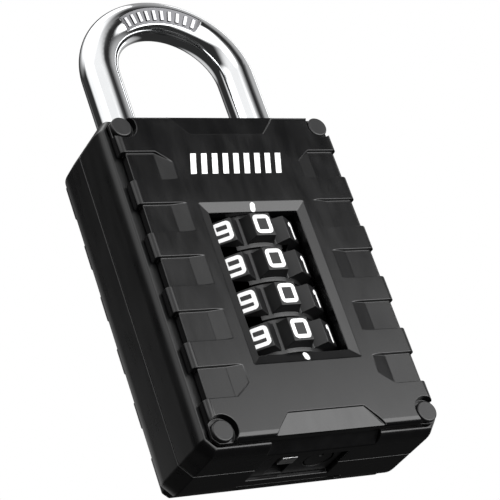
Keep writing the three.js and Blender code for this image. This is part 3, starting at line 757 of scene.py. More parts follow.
class Shelf:
    """Sets finished pieces on their bodies and says so."""

    @staticmethod
    def put(
        piece: bpy.types.Object,
        body: str,
        slot: str,
        material: bpy.types.Material | None = None,
        nodes: Sequence[str] = (),
    ) -> bpy.types.Object:
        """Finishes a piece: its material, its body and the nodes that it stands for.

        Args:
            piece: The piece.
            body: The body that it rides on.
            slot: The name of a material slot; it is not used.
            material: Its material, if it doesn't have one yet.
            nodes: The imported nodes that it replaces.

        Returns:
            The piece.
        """
        if material is not None:
            piece.data.materials.clear()
            piece.data.materials.append(material)
        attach(piece, body)
        if nodes:
            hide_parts(*nodes)
        triangles = sum(len(face.vertices) - 2 for face in piece.data.polygons)
        log.info("%s rides on %s with %d triangles", piece.name, body, triangles)
        return piece

    @staticmethod
    def carry(
        node: str,
        name: str,
        body: str,
        slot: str,
        material: bpy.types.Material,
        edge: float = 0.12,
        angle: float = 28,
        strips: int = 2,
    ) -> bpy.types.Object:
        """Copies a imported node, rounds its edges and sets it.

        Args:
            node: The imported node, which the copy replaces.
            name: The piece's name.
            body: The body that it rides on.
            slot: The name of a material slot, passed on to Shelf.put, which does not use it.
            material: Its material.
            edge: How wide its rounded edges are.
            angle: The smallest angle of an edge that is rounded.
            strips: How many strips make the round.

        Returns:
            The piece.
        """
        made = Bench.soften(Bench.copy_of(node, name), edge, angle, strips)
        return Shelf.put(made, body, slot, material, [node])


# --------------------------------------------------------------------- case


@dataclass
class CaseSizes:
    """The lock's main sizes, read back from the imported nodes, in millimetres."""

    half_width: float = 0
    height: float = 0
    half_rim: float = 0
    plate_front: float = 0
    plate_back: float = -9.75
    pocket_wall: float = 0.8
    plate_half: float = 0
    plate_low: float = 0
    plate_high: float = 0
    seam: float = 0.125
    plug_x: float = 0
    plug_low: float = 0
    plug_high: float = 0
    rod_radius: float = 4
    leg: float = 15.9
    window_half: float = 9.95
    window_drop: float = 0.6
    window_low: float = 0
    window_high: float = 0
    bevel: float = 2.0
    bevel_depth: float = 0.6

    @classmethod
    def measured(cls) -> "CaseSizes":
        """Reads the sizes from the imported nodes."""
        shell_low, shell_high = (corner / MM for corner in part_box("front_shell"))
        plate_low, plate_high = (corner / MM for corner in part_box("front_plate"))
        plug_low, plug_high = (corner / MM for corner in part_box("plug_bottom_right"))
        cap_low, cap_high = (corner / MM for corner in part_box("plug_top_right"))
        return cls(
            half_width=shell_high.x,
            height=shell_high.z,
            half_rim=-shell_low.y,
            plate_front=plate_low.y,
            plate_half=plate_high.x,
            plate_low=plate_low.z,
            plate_high=plate_high.z,
            plug_x=(plug_low.x + plug_high.x) / 2,
            plug_low=(plug_low.z + plug_high.z) / 2,
            plug_high=(cap_low.z + cap_high.z) / 2,
            window_low=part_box("dial_4")[0].z / MM - cls.window_drop,
            window_high=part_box("dial_1")[1].z / MM,
        )

    def plugs(self) -> list[tuple[str, float, float]]:
        """The corners of the lock: a name, an X and a Z each."""
        return [
            ("top_left", -self.plug_x, self.plug_high),
            ("top_right", self.plug_x, self.plug_high),
            ("bottom_left", -self.plug_x, self.plug_low),
            ("bottom_right", self.plug_x, self.plug_low),
        ]

    def outline(self, half: float, low: float, high: float, corner: Point2) -> list[Point2]:
        """A rectangle with cut corners in X and Z, anticlockwise."""
        cx, cz = corner
        return [
            (-half + cx, low),
            (half - cx, low),
            (half, low + cz),
            (half, high - cz),
            (half - cx, high),
            (-half + cx, high),
            (-half, high - cz),
            (-half, low + cz),
        ]


@dataclass
class RoundedSlab:
    """A slab that stands in X and Z, with a rounded front edge."""

    outline: list[Point2]
    front: float
    back: float
    depth: float
    inset: float
    steps: int = 12

    def build(self, name: str) -> bpy.types.Object:
        """Makes the slab.

        Args:
            name: The object's name.

        Returns:
            The closed slab.
        """
        rings = []
        for step in range(self.steps + 1):
            lean = math.radians(90 * step / self.steps)
            turn = math.pi / 2 if step == self.steps else math.atan(self.inset / self.depth * math.tan(lean))
            amount = self.inset * (1 - math.sin(turn))
            level = self.front + self.depth * (1 - math.cos(turn))
            ring = Bench.inset(self.outline, amount)
            rings.append([(x, level, z) for x, z in ring])
        rings.append([(x, self.back, z) for x, z in self.outline])
        return Bench.loft(name, rings)


@dataclass
class CaseShells:
    """The two half shells with their bores, bosses, guides and window."""

    sizes: CaseSizes
    corner: Point2 = (2.3, 2.7)
    round_depth: float = 3.2
    round_inset: float = 1.2
    strip_half: float = 12
    strip_rise: float = 2.3
    strip_run: float = 3
    wall: float = 1.8
    side_wall: float = 3.2
    floor: float = 3
    top_wall: float = 2.4
    cage_screw_x: float = -18.85
    lip: Point2 = (1.65, 0.9)
    lip_end: float = 2.75
    lip_reach: float = 0.55
    lip_root: float = 0.5
    groove_spare: float = 0.15
    groove_end: float = 0.3
    boss: Point2 = (3, 0.9)
    guide_wall: float = 1.7
    guide_depth: float = 1.1
    guide_foot: float = 61.958
    guide_lap: float = 0.7
    bore_foot: float = 61
    leg_gap: float = 0.3
    hole_sides: Point2 = (-10.9, 7.4)
    hole_half: float = 4.5
    head: Point2 = (2.15, -5.25)
    shank: Point2 = (1.25, 5.85)
    window_depth: float = 2.8
    shelf_side: float = 13.65
    shelf_ends: Point2 = (31.083, 34.083)
    shelf_lap: float = 0.8
    tongue: float = 3
    tongue_gap: float = 0.25
    stop_sides: Point2 = (2.95, 11.35)
    stop_ends: Point2 = (60.783, 62.283)
    post: Point2 = (2.2, 6.05)
    seat: Point2 = (1.35, 31.833)
    cage_screw: Point2 = (1.15, 0.55)
    window_side: float = 11.2
    window_margin: float = 0.45
    edge: float = 0.22
    kink: float = 9.5

    def half(self, name: str) -> bpy.types.Object:
        """Makes the outer block of the front half with its chamfered strips."""
        s = self.sizes
        shape = s.outline(s.half_width, 0, s.height, self.corner)
        slab = RoundedSlab(shape, -s.half_rim, -s.seam, self.round_depth, self.round_inset)
        block = slab.build(name)
        over = 1 + self.strip_rise / self.strip_run
        strips = []
        for level, inward in ((0, 1), (s.height, -1)):
            strips.append(
                Bench.prism(
                    "strip",
                    Axis.X,
                    [
                        (-s.half_rim - 1, level - inward),
                        (-s.half_rim - 1, level + inward * (self.strip_rise + over - 1)),
                        (-s.half_rim + self.strip_run + 1, level - inward * (over - 1)),
                        (-s.half_rim + self.strip_run + 1, level - inward),
                    ],
                    -self.strip_half,
                    self.strip_half,
                )
            )
        return Bench.carve(block, strips)

    def hollow(self, block: bpy.types.Object) -> bpy.types.Object:
        """Empties a half block and puts back the bosses and the leg guides."""
        s = self.sizes
        deep = s.half_rim - self.wall
        side = s.half_width - self.side_wall
        room = Bench.block("room", (-side, -deep, self.floor), (side, 1, s.height - self.top_wall))
        Bench.carve(block, [room])
        radius, root = self.boss
        boss = [(radius, -s.half_rim + root), (radius, -s.seam)]
        fills = []
        for _, x, z in s.plugs():
            fills.append(Bench.turned("boss", Axis.Y, (x, z), boss))
        reach = s.rod_radius + self.guide_wall
        for leg in (-s.leg, s.leg):
            fills.append(
                Bench.block(
                    "guide",
                    (leg - reach, -s.half_rim + self.guide_depth, self.guide_foot),
                    (min(leg + reach, s.half_width - 1), -s.seam, s.height - self.top_wall + self.guide_lap),
                )
            )
        return Bench.carve(block, fills, Cut.JOIN)

    def bores(self) -> list[bpy.types.Object]:
        """The tools for the legs' bores and the hole of the bottom insert."""
        s = self.sizes
        radius = s.rod_radius + self.leg_gap
        bore = [(radius, self.bore_foot), (radius, s.height + 1)]
        legs = [
            Bench.turned("bore", Axis.Z, (leg, 0), bore, WIDE_SIDES)
            for leg in (-s.leg, s.leg)
        ]
        (left, right), half = self.hole_sides, self.hole_half
        return [*legs, Bench.block("hole", (left, -half, -1), (right, half, self.floor + 1))]

    def front(self) -> bpy.types.Object:
        """Makes the front shell."""
        s = self.sizes
        shell = self.hollow(self.half("front_half"))
        tools = self.bores()
        (head, seat), (shank, _) = self.head, self.shank
        for _, x, z in s.plugs():
            tools.append(Bench.turned("head", Axis.Y, (x, z), [(head, -s.half_rim - 1), (head, seat)]))
            line = [(shank, -s.half_rim), (shank, 1)]
            tools.append(Bench.turned("shank", Axis.Y, (x, z), line, THIN_SIDES))
        tools.append(self.window(-s.half_rim - 1, -s.half_rim + self.window_depth))
        Bench.carve(shell, tools)
        return Bench.carve(shell, self.lips(0, self.lip_reach), Cut.JOIN)

    def lips(self, spare: float, reach: float) -> list[bpy.types.Object]:
        """Upright strips across the seam, one in each side wall.

        Args:
            spare: How much wider a strip is on every side than the lip itself.
            reach: How far behind the seam it ends.

        Returns:
            The lips, or with some spare the tools for their grooves.
        """
        s = self.sizes
        near, far = (s.half_width - place for place in self.lip)
        low, high = self.lip_end - spare, s.height - self.lip_end + spare
        return [
            Bench.block(
                "lip",
                (min(side * near, side * far) - spare, -s.seam - self.lip_root, low),
                (max(side * near, side * far) + spare, reach, high),
            )
            for side in (-1, 1)
        ]

    def window(self, front: float, back: float) -> bpy.types.Object:
        """The tool for the opening that the dials turn in, from one depth to another."""
        low, high = self.sizes.window_low - self.window_margin, self.sizes.window_high + self.window_margin
        return Bench.block("window", (-self.window_side, front, low), (self.window_side, back, high))

    def rear(self) -> bpy.types.Object:
        """Makes the rear shell, as the front half turned round the upright axis."""
        s = self.sizes
        shell = self.hollow(self.half("rear_half"))
        shell.data.transform(Matrix.Rotation(math.pi, 4, "Z"))
        tools = self.bores()
        shank, tip = self.shank
        for _, x, z in s.plugs():
            tools.append(Bench.turned("shank", Axis.Y, (x, z), [(shank, -1), (shank, tip)], THIN_SIDES))
        tools.append(self.window(s.half_rim - self.window_depth, s.half_rim + 1))
        tools += self.lips(self.groove_spare, self.lip_reach + self.groove_end)
        Bench.carve(shell, tools)
        inner = s.half_width - self.side_wall
        side, (low, high) = self.shelf_side, self.shelf_ends
        shelf = Bench.block("shelf", (side, s.seam, low), (inner + self.shelf_lap, s.half_rim - 1, high))
        tongue = Bench.block("tongue", (side, -self.tongue, low), (inner - self.tongue_gap, 1, high))
        (left, right), (foot, top) = self.stop_sides, self.stop_ends
        stop = Bench.block("stop", (left, s.seam, foot), (right, s.half_rim - self.boss[1], top))
        radius, face = self.post
        post = [(radius, face), (radius, s.half_rim - self.boss[1])]
        spots = [(self.cage_screw_x, z) for z in self.cage_screws()]
        posts = [Bench.turned("post", Axis.Y, spot, post, HOLE_SIDES) for spot in spots]
        Bench.carve(shell, [shelf, tongue, stop, *posts], Cut.JOIN)
        radius, floor = self.seat
        tools = [Bench.turned("seat", Axis.Z, (s.leg, 0), [(radius, floor), (radius, high + 1)], THIN_SIDES)]
        radius, wall = self.cage_screw
        hole = [(radius, 0), (radius, s.half_rim - wall)]
        tools += [Bench.turned("hole", Axis.Y, spot, hole, THIN_SIDES) for spot in spots]
        return Bench.carve(shell, tools)

    def cage_screws(self) -> list[float]:
        """The heights of the two cage screws."""
        heights = []
        for node in ("cage_screw_lower", "cage_screw_upper"):
            low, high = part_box(node)
            heights.append((low.z + high.z) / 2 / MM)
        return heights

    def build(self, palette: Palette) -> None:
        """Makes and sets both shells."""
        for name, made in (("front_shell", self.front()), ("rear_shell", self.rear())):
            made.name = f"shell_{name.split('_')[0]}"
            Bench.soften(made, self.edge, self.kink)
            Shelf.put(made, "case", "case_coating", palette.case, [name])


@dataclass
class ArmourPlates:
    """The treaded plates on the front and the back of the case."""

    sizes: CaseSizes
    corner: Point2 = (1.2, 1.2)
    round_depth: float = 1.0
    round_inset: float = 1.2
    tread_pitch: float = 11.6
    tread_height: float = 6.3
    tread_depth: float = 0.65
    tread_ridge: float = 10.2
    tread_ramp: float = 3.3
    tread_step: float = 1.0
    notch: Point2 = (3.1, 2.4)
    inset_halves: Point3 = (8.4, 10.8, 12.1)
    inset_length: float = 4.3
    inset_kink: float = 1.7
    inset_depths: Point2 = (0.3, 0.75)
    pocket: float = 2.85
    way: float = 1.75
    peg: Point2 = (18.2, 27.0)
    peg_radius: float = 1
    peg_length: float = 1.4
    edge: float = 0.16
    kink: float = 9.5

    def cell(self, side: int, index: int) -> bpy.types.Object:
        """Makes the tool for one recessed tread.

        Args:
            side: -1 for the left and 1 for the right.
            index: The cell's place, from -2 at the bottom to 2 at the top.

        Returns:
            The tool solid.
        """
        s = self.sizes
        middle = s.height / 2 + index * self.tread_pitch
        low, high = middle - self.tread_height / 2, middle + self.tread_height / 2
        ridge = s.plate_half - self.tread_ridge
        far = s.plate_half + 1
        deep = s.plate_front + self.tread_depth
        ramp = Bench.prism(
            "tread",
            Axis.Z,
            [
                (side * ridge, s.plate_front),
                (side * (ridge + self.tread_ramp), deep),
                (side * far, deep),
                (side * far, s.plate_front - 1),
                (side * ridge, s.plate_front - 1),
            ],
            low,
            high,
        )
        if abs(index) == 2:
            sign = 1 if index < 0 else -1
            outer, inner = (low, high) if index < 0 else (high, low)
            along, up = self.notch
            plan = Bench.prism(
                "plan",
                Axis.Y,
                [
                    (side * (ridge - 1), inner + sign),
                    (side * (far + 1), inner + sign),
                    (side * (far + 1), outer - sign),
                    (side * (ridge + along), outer - sign),
                    (side * (ridge + along), outer),
                    (side * ridge, outer + sign * up),
                    (side * (ridge - 1), outer + sign * up),
                ],
                s.plate_front - 2,
                s.plate_back,
            )
            Bench.carve(ramp, [plan], Cut.COMMON)
        return ramp

    def step(self, side: int, index: int) -> bpy.types.Object:
        """Makes the tool that steps the plate's edge in beside a cell."""
        s = self.sizes
        middle = s.height / 2 + index * self.tread_pitch
        near, far = sorted((side * (s.plate_half - self.tread_step), side * (s.plate_half + 1)))
        half = self.tread_height / 2
        return Bench.block(
            "step", (near, s.plate_front - 1, middle - half), (far, s.plate_back + 1, middle + half)
        )

    def end_inset(self, end: int) -> bpy.types.Object:
        """Makes the tool for the sloping inset at the top or the bottom of the plate."""
        s = self.sizes
        edge = s.plate_high if end > 0 else s.plate_low
        inner, kink, beyond = edge - end * self.inset_length, edge - end * self.inset_kink, edge + end
        a, b, c = self.inset_halves
        right = [(a, inner), (b, kink), (c, edge), (c, beyond)]
        left = [(-x, z) for x, z in reversed(right)]
        plan = Bench.prism("plan", Axis.Y, [left[-1], *right, *left[:-1]], s.plate_front - 1, s.plate_back)
        shallow, deep = self.inset_depths
        wedge = Bench.prism(
            "wedge",
            Axis.X,
            [
                (s.plate_front - 2, inner - end),
                (s.plate_front + shallow, inner - end),
                (s.plate_front + shallow, inner),
                (s.plate_front + deep, beyond + end),
                (s.plate_front - 2, beyond + end),
            ],
            -s.half_width,
            s.half_width,
        )
        return Bench.carve(plan, [wedge], Cut.COMMON)

    def blank(self, name: str) -> bpy.types.Object:
        """Makes a treaded plate that faces the front, with its pegs."""
        s = self.sizes
        shape = s.outline(s.plate_half, s.plate_low, s.plate_high, self.corner)
        slab = RoundedSlab(shape, s.plate_front, s.plate_back, self.round_depth, self.round_inset)
        plate = slab.build(name)
        tools = [self.end_inset(-1), self.end_inset(1)]
        for side in (-1, 1):
            for index in range(-2, 3):
                tools += [self.cell(side, index), self.step(side, index)]
        Bench.carve(plate, tools)
        x, z = self.peg
        line = [(self.peg_radius, s.plate_back - 1), (self.peg_radius, s.plate_back + self.peg_length)]
        spots = [(i * x, s.height / 2 + j * z) for i in (-1, 1) for j in (-1, 1)]
        pegs = [Bench.turned("peg", Axis.Y, spot, line, THIN_SIDES) for spot in spots]
        return Bench.carve(plate, pegs, Cut.JOIN)

    def window_tools(self) -> list[bpy.types.Object]:
        """The tools for the dial window and its sloping frame."""
        s = self.sizes
        wide = s.window_half

        def ring(grow: float, level: float) -> list[Point3]:
            """One rectangle round the window."""
            left, right = -wide - grow, wide + grow
            low, high = s.window_low - grow, s.window_high + grow
            return [(left, level, low), (right, level, low), (right, level, high), (left, level, high)]

        deep = s.plate_front + s.bevel_depth
        frustum = [ring(s.bevel, s.plate_front - 1), ring(s.bevel, s.plate_front), ring(0, deep)]
        opening = Bench.block(
            "opening", (-wide, s.plate_front - 1, s.window_low), (wide, s.plate_back + 1, s.window_high)
        )
        return [Bench.loft("frame", frustum), opening]

    def build(self, palette: Palette) -> None:
        """Makes and sets both plates."""
        s = self.sizes
        front = self.blank("plate_front")
        tools = self.window_tools()
        pocket = [(self.pocket, s.plate_front - 1), (self.pocket, s.plate_back - s.pocket_wall)]
        way = [(self.way, s.plate_front), (self.way, s.plate_back + 1)]
        for _, x, z in s.plugs():
            tools.append(Bench.turned("pocket", Axis.Y, (x, z), pocket, WIDE_SIDES))
            tools.append(Bench.turned("way", Axis.Y, (x, z), way, HOLE_SIDES))
        Bench.carve(front, tools)
        rear = Bench.carve(self.blank("plate_rear"), self.window_tools())
        rear.data.transform(Matrix.Rotation(math.pi, 4, "Z"))
        for made, node in ((front, "front_plate"), (rear, "rear_plate")):
            Bench.soften(made, self.edge, self.kink)
            Shelf.put(made, "case", "armour_plastic", palette.plate, [node])


@dataclass
class CornerPlugs:
    """The four caps that hide the case screws, and the screws."""

    sizes: CaseSizes
    cap: float = 2.15
    crown: float = 0.32
    sink: float = 0.5
    lift: float = 0.25
    dimple: float = 0.35
    stem: float = 1.5
    length: float = 4.1
    edge: float = 0.06
    kink: float = 35
    steps: int = 6

    def profile(self) -> list[Point2]:
        """The profile of a plug, from its crowned face to the end of its stem."""
        front = self.sizes.plate_front + self.sink
        line = [(self.dimple, front), (self.cap - self.crown, front)]
        for step in range(1, self.steps + 1):
            angle = math.radians(90 * step / self.steps)
            line.append(
                (self.cap - self.crown * (1 - math.sin(angle)), front + self.crown * (1 - math.cos(angle)))
            )
        back = self.sizes.plate_back - self.sizes.pocket_wall - self.lift
        return [*line, (self.cap, back), (self.stem, back), (self.stem, front + self.length)]

    def build(self, palette: Palette) -> None:
        """Makes and sets the plugs and their screws."""
        for corner, x, z in self.sizes.plugs():
            plug = Bench.turned(f"cap_{corner}", Axis.Y, (x, z), self.profile(), WIDE_SIDES)
            Bench.soften(plug, self.edge, self.kink)
            Shelf.put(plug, "case", "plug_plastic", palette.plug, [f"plug_{corner}"])
            screw = (f"case_screw_{corner}", f"fixing_{corner}", "case")
            Shelf.carry(*screw, "steel_fittings", palette.steel)


# -------------------------------------------------------------------- print


class Stroke:
    """Flat strokes of even width, as a pen would draw them."""

    @staticmethod
    def rounded(points: Sequence[Point2], radius: float, closed: bool, steps: int = 6) -> list[Point2]:
        """Rounds the corners of a line.

        Args:
            points: The line's corners.
            radius: The radius of its corners.
            closed: Whether the line closes on itself.
            steps: How many steps make a corner.

        Returns:
            The points of the rounded line.
        """
        count = len(points)
        made: list[Point2] = []
        for index, point in enumerate(points):
            if not closed and index in (0, count - 1):
                made.append(point)
                continue
            here = Vector(point)
            before, after = Vector(points[index - 1]) - here, Vector(points[(index + 1) % count]) - here
            half = before.angle(after) / 2
            reach = min(radius / math.tan(half), before.length * 0.5, after.length * 0.5)
            start, end = here + before.normalized() * reach, here + after.normalized() * reach
            for step in range(steps + 1):
                t = step / steps
                made.append(tuple(start * (1 - t) ** 2 + here * 2 * t * (1 - t) + end * t * t))
        return made

    @staticmethod
    def sides(line: Sequence[Point2], half: float, closed: bool) -> tuple[list[Point2], list[Point2]]:
        """The left and right sides of a stroke along a line."""
        count = len(line)
        left, right = [], []
        for index in range(count):
            before = line[index - 1] if closed or index else line[0]
            after = line[(index + 1) % count] if closed or index < count - 1 else line[-1]
            run = (Vector(after) - Vector(before)).normalized()
            across = Vector((-run.y, run.x)) * half
            left.append(tuple(Vector(line[index]) + across))
            right.append(tuple(Vector(line[index]) - across))
        return left, right

    @staticmethod
    def cap(centre: Point2, start: Vector, steps: int = 8) -> list[Point2]:
        """The round end of a stroke, from one side to the other."""
        made = []
        for step in range(1, steps):
            turn = Matrix.Rotation(-math.pi * step / steps, 2)
            made.append(tuple(Vector(centre) + turn @ start))
        return made

    @staticmethod
    def draw(
        work: bmesh.types.BMesh,
        points: Sequence[Point2],
        width: float,
        place: Matrix,
        top: float,
        closed: bool = False,
        radius: float = 0.8,
        sink: float = 0.06,
    ) -> None:
        """Draws one stroke into a working mesh.

        Args:
            work: The working mesh.
            points: The corners of the stroke's middle line.
            width: The stroke's width.
            place: Where the flat drawing goes: its X, its Y and its outward Z.
            top: How far the ink stands proud.
            closed: Whether the line closes on itself.
            radius: The radius of the line's corners.
            sink: How deep the stroke is sunk in the surface.
        """
        line = Stroke.rounded(points, radius, closed)
        left, right = Stroke.sides(line, width / 2, closed)

        def corner(point: Point2, level: float) -> bmesh.types.BMVert:
            """One corner of the stroke, in place."""
            return work.verts.new(place @ Vector((point[0], point[1], level)) * MM)

        if closed:
            rows = [[corner(p, level) for p in side] for side, level in (
                (left, top), (right, top), (right, -sink), (left, -sink))]
            for near, far in zip(rows, rows[1:] + rows[:1]):
                for index in range(len(line)):
                    after = (index + 1) % len(line)
                    work.faces.new((near[index], near[after], far[after], far[index]))
            return
        first = Vector(right[0]) - Vector(line[0])
        last = Vector(left[-1]) - Vector(line[-1])
        edge = [*left, *Stroke.cap(line[-1], last), *reversed(right), *Stroke.cap(line[0], first)]
        upper = [corner(p, top) for p in edge]
        lower = [corner(p, -sink) for p in edge]
        work.faces.new(upper)
        work.faces.new(lower)
        for index in range(len(edge)):
            after = (index + 1) % len(edge)
            work.faces.new((upper[index], upper[after], lower[after], lower[index]))

    @staticmethod
    def finish(name: str, work: bmesh.types.BMesh) -> bpy.types.Object:
        """Turns the drawn strokes into an object whose faces point outwards."""
        bmesh.ops.recalc_face_normals(work, faces=work.faces)
        return Bench.keep(name, work)


@dataclass
class Prints:
    """The white print on the front plate: a row of plain slanted bars and two index ticks."""

    sizes: CaseSizes
    bars: int = 9
    bar_width: float = 1.25
    bar_low: float = 57.1
    bar_high: float = 61.8
    bar_lean: float = 1.35
    row_left: float = -11.3
    row_pitch: float = 2.42
    bar_proud: float = 0.03
    bar_depth: float = 0.1
    tick_width: float = 1.1
    tick_ends: Point2 = (0.02, 1.95)
    tick_proud: float = 0.03

    def mark(self, palette: Palette) -> None:
        """Makes the row of slanted bars."""
        s = self.sizes
        shape = [
            (self.row_left, self.bar_low),
            (self.row_left + self.bar_width, self.bar_low),
            (self.row_left + self.bar_width + self.bar_lean, self.bar_high),
            (self.row_left + self.bar_lean, self.bar_high),
        ]
        front, back = s.plate_front - self.bar_proud, s.plate_front + self.bar_depth
        bar = Bench.prism("mark_bars", Axis.Y, shape, front, back)
        row = repeat_recipe("bar_row", self.bars, 0, (self.row_pitch, 0, 0), palette.ink)
        Shelf.put(row.run(bar), "case", "digit_print")

    def tick(self, end: int, palette: Palette) -> None:
        """Makes one index tick on the window's sloping frame.

        Args:
            end: 1 for the tick above the window and -1 for the one below.
            palette: The finishes.
        """
        s = self.sizes
        edge = s.window_high if end > 0 else s.window_low
        slope = Vector((0, -s.bevel_depth, end * s.bevel)).normalized()
        outward = Vector((0, -s.bevel, -end * s.bevel_depth)).normalized()
        across = slope.cross(outward)
        place = Matrix.Translation((0, s.plate_front + s.bevel_depth, edge)) @ Matrix(
            ((across.x, slope.x, outward.x, 0), (across.y, slope.y, outward.y, 0),
             (across.z, slope.z, outward.z, 0), (0, 0, 0, 1))
        )
        work = bmesh.new()
        half, (low, high) = self.tick_width / 2, self.tick_ends
        Stroke.draw(work, [(0, low + half), (0, high - half)], self.tick_width, place, self.tick_proud)
        name = "tick_top" if end > 0 else "tick_bottom"
        Shelf.put(Stroke.finish(name, work), "case", "digit_print", palette.ink)

    def build(self, palette: Palette) -> None:
        """Makes and sets the print."""
        self.mark(palette)
        self.tick(1, palette)
        self.tick(-1, palette)


# -------------------------------------------------------------------- dials


@dataclass
class DialStack:
    """The four dials with their ten pads, digits and code sleeves."""

    names: tuple[str, ...] = ("first", "second", "third", "fourth")
    axis: Point2 = (0, 0)
    digits: int = 10
    face: float = 13.15
    core: float = 10.8
    bore: float = 6.5
    spline: float = 0.8
    height: float = 7.35
    root: float = 10.3
    pad_face: Point2 = (2.15, 2.5)
    pad_base: Point2 = (3.05, 2.8)
    glyph: Point2 = (1.48, 1.66)
    glyph_round: float = 0.62
    glyph_flag: float = 0.62
    glyph_lean: float = 0.3
    bar_gap: float = 0.98
    kink: float = 20
    sleeve_edge: float = 0.1
    stroke: float = 0.8
    ink: float = 0.012
    ink_layer: float = 0.004
    ring_sides: int = 100
    spline_sides: int = 16
    edge: float = 0.14

    def glyph_lines(self) -> dict[int, list[tuple[bool, list[Point2]]]]:
        """The strokes of the ten digits: whether each closes on itself, and its corners."""
        (a, b), e, f, g = self.glyph, self.glyph_lean, self.glyph_flag, self.bar_gap
        return {
            0: [(True, [(-a, -b), (a, -b), (a, b), (-a, b)])],
            1: [(False, [(-0.1, b - f), (f, b), (f, -b)])],
            2: [(False, [(-a, b), (a, b), (a, 0), (-a, 0), (-a, -b), (a, -b)])],
            3: [(False, [(-a, b), (a, b), (a, -b), (-a, -b)]), (False, [(g - a, 0), (a, 0)])],
            4: [(False, [(-a, b), (-a, -e), (a, -e)]), (False, [(a - e, b), (a - e, -b)])],
            5: [(False, [(a, b), (-a, b), (-a, 0), (a, 0), (a, -b), (-a, -b)])],
            6: [(True, [(-a, -b), (a, -b), (a, 0.1), (-a, 0.1)]), (False, [(-a, -0.6), (-a, b), (a, b)])],
            7: [(False, [(-a, b), (a, b), (-e, -b)])],
            8: [(True, [(-a, -b), (a, -b), (a, b), (-a, b)]), (False, [(-a, 0), (a, 0)])],
            9: [(True, [(-a, -0.1), (a, -0.1), (a, b), (-a, b)]), (False, [(a, 0.6), (a, -b), (-a, -b)])],
        }

    def body(self, low: float, palette: Palette) -> bpy.types.Object:
        """Makes one dial: a splined ring with ten pads round it.

        Args:
            low: The height of its underside.
            palette: The finishes.

        Returns:
            The dial.
        """
        x, y = self.axis
        high, middle = low + self.height, low + self.height / 2
        ring = Bench.turned(
            "ring",
            Axis.Z,
            self.axis,
            [(self.bore, low), (self.core, low), (self.core, high), (self.bore, high)],
            self.ring_sides,
            True,
        )
        line = [(self.spline, low - 1), (self.spline, high + 1)]
        bars = Bench.turned("splines", Axis.Z, (0, -self.bore), line, self.spline_sides)
        pattern = repeat_recipe("spline_ring", self.digits, 360 / self.digits, (0, 0, 0), palette.dial)
        pattern.run(bars)
        bars.data.transform(Matrix.Translation(Vector((x, y, 0)) * MM))
        Bench.carve(ring, [bars])
        (fx, fz), (bx, bz) = self.pad_face, self.pad_base
        rings = []
        for half_x, half_z, reach in ((bx, bz, self.root), (fx, fz, self.face)):
            rings.append(
                [
                    (-half_x, -reach, middle - half_z),
                    (half_x, -reach, middle - half_z),
                    (half_x, -reach, middle + half_z),
                    (-half_x, -reach, middle + half_z),
                ]
            )
        pads = Bench.loft("pads", rings)
        pads = repeat_recipe("pad_ring", self.digits, 360 / self.digits, (0, 0, 0), palette.dial).run(pads)
        pads.data.transform(Matrix.Translation(Vector((x, y, 0)) * MM))
        return Bench.carve(ring, [pads], Cut.JOIN)

    def print_digits(self, name: str, low: float) -> bpy.types.Object:
        """Draws the ten digits of one dial on its pads."""
        work = bmesh.new()
        x, y = self.axis
        middle = low + self.height / 2
        for digit, lines in self.glyph_lines().items():
            angle = math.tau * digit / self.digits
            out = Vector((math.sin(angle), -math.cos(angle), 0))
            along = Vector((math.cos(angle), math.sin(angle), 0))
            centre = Vector((x, y, middle)) + out * self.face
            place = Matrix(
                ((along.x, 0, out.x, centre.x), (along.y, 0, out.y, centre.y),
                 (0, 1, 0, centre.z), (0, 0, 0, 1))
            )
            for layer, (closed, points) in enumerate(lines):
                top = self.ink + self.ink_layer * layer
                Stroke.draw(work, points, self.stroke, place, top, closed, self.glyph_round)
        return Stroke.finish(name, work)

    def build(self, palette: Palette) -> None:
        """Makes and sets the dials, their digits and their sleeves."""
        near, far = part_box("dial_1")
        self.axis = ((near.x + far.x) / 2 / MM, (near.y + far.y) / 2 / MM)
        self.face = (far.y - near.y) / 2 / MM
        first_low = near.z / MM
        pattern = self.body(first_low, palette)
        Bench.soften(pattern, self.edge, self.kink)
        for number, word in enumerate(self.names, 1):
            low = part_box(f"dial_{number}")[0].z / MM
            dial = bpy.data.objects.new(f"wheel_{number}", pattern.data.copy())
            bpy.context.scene.collection.objects.link(dial)
            dial.data.transform(Matrix.Translation(Vector((0, 0, low - first_low)) * MM))
            Shelf.put(dial, f"{word}_dial", "dial_plastic", palette.dial, [f"dial_{number}"])
            digits = self.print_digits(f"digits_{number}", low)
            Shelf.put(digits, f"{word}_dial", "digit_print", palette.ink)
            sleeve = (f"code_sleeve_{number}", f"sleeve_{number}", f"{word}_dial")
            Shelf.carry(*sleeve, "sleeve_brass", palette.brass, self.sleeve_edge)
        bpy.data.objects.remove(pattern)


# ------------------------------------------------------------------ shackle


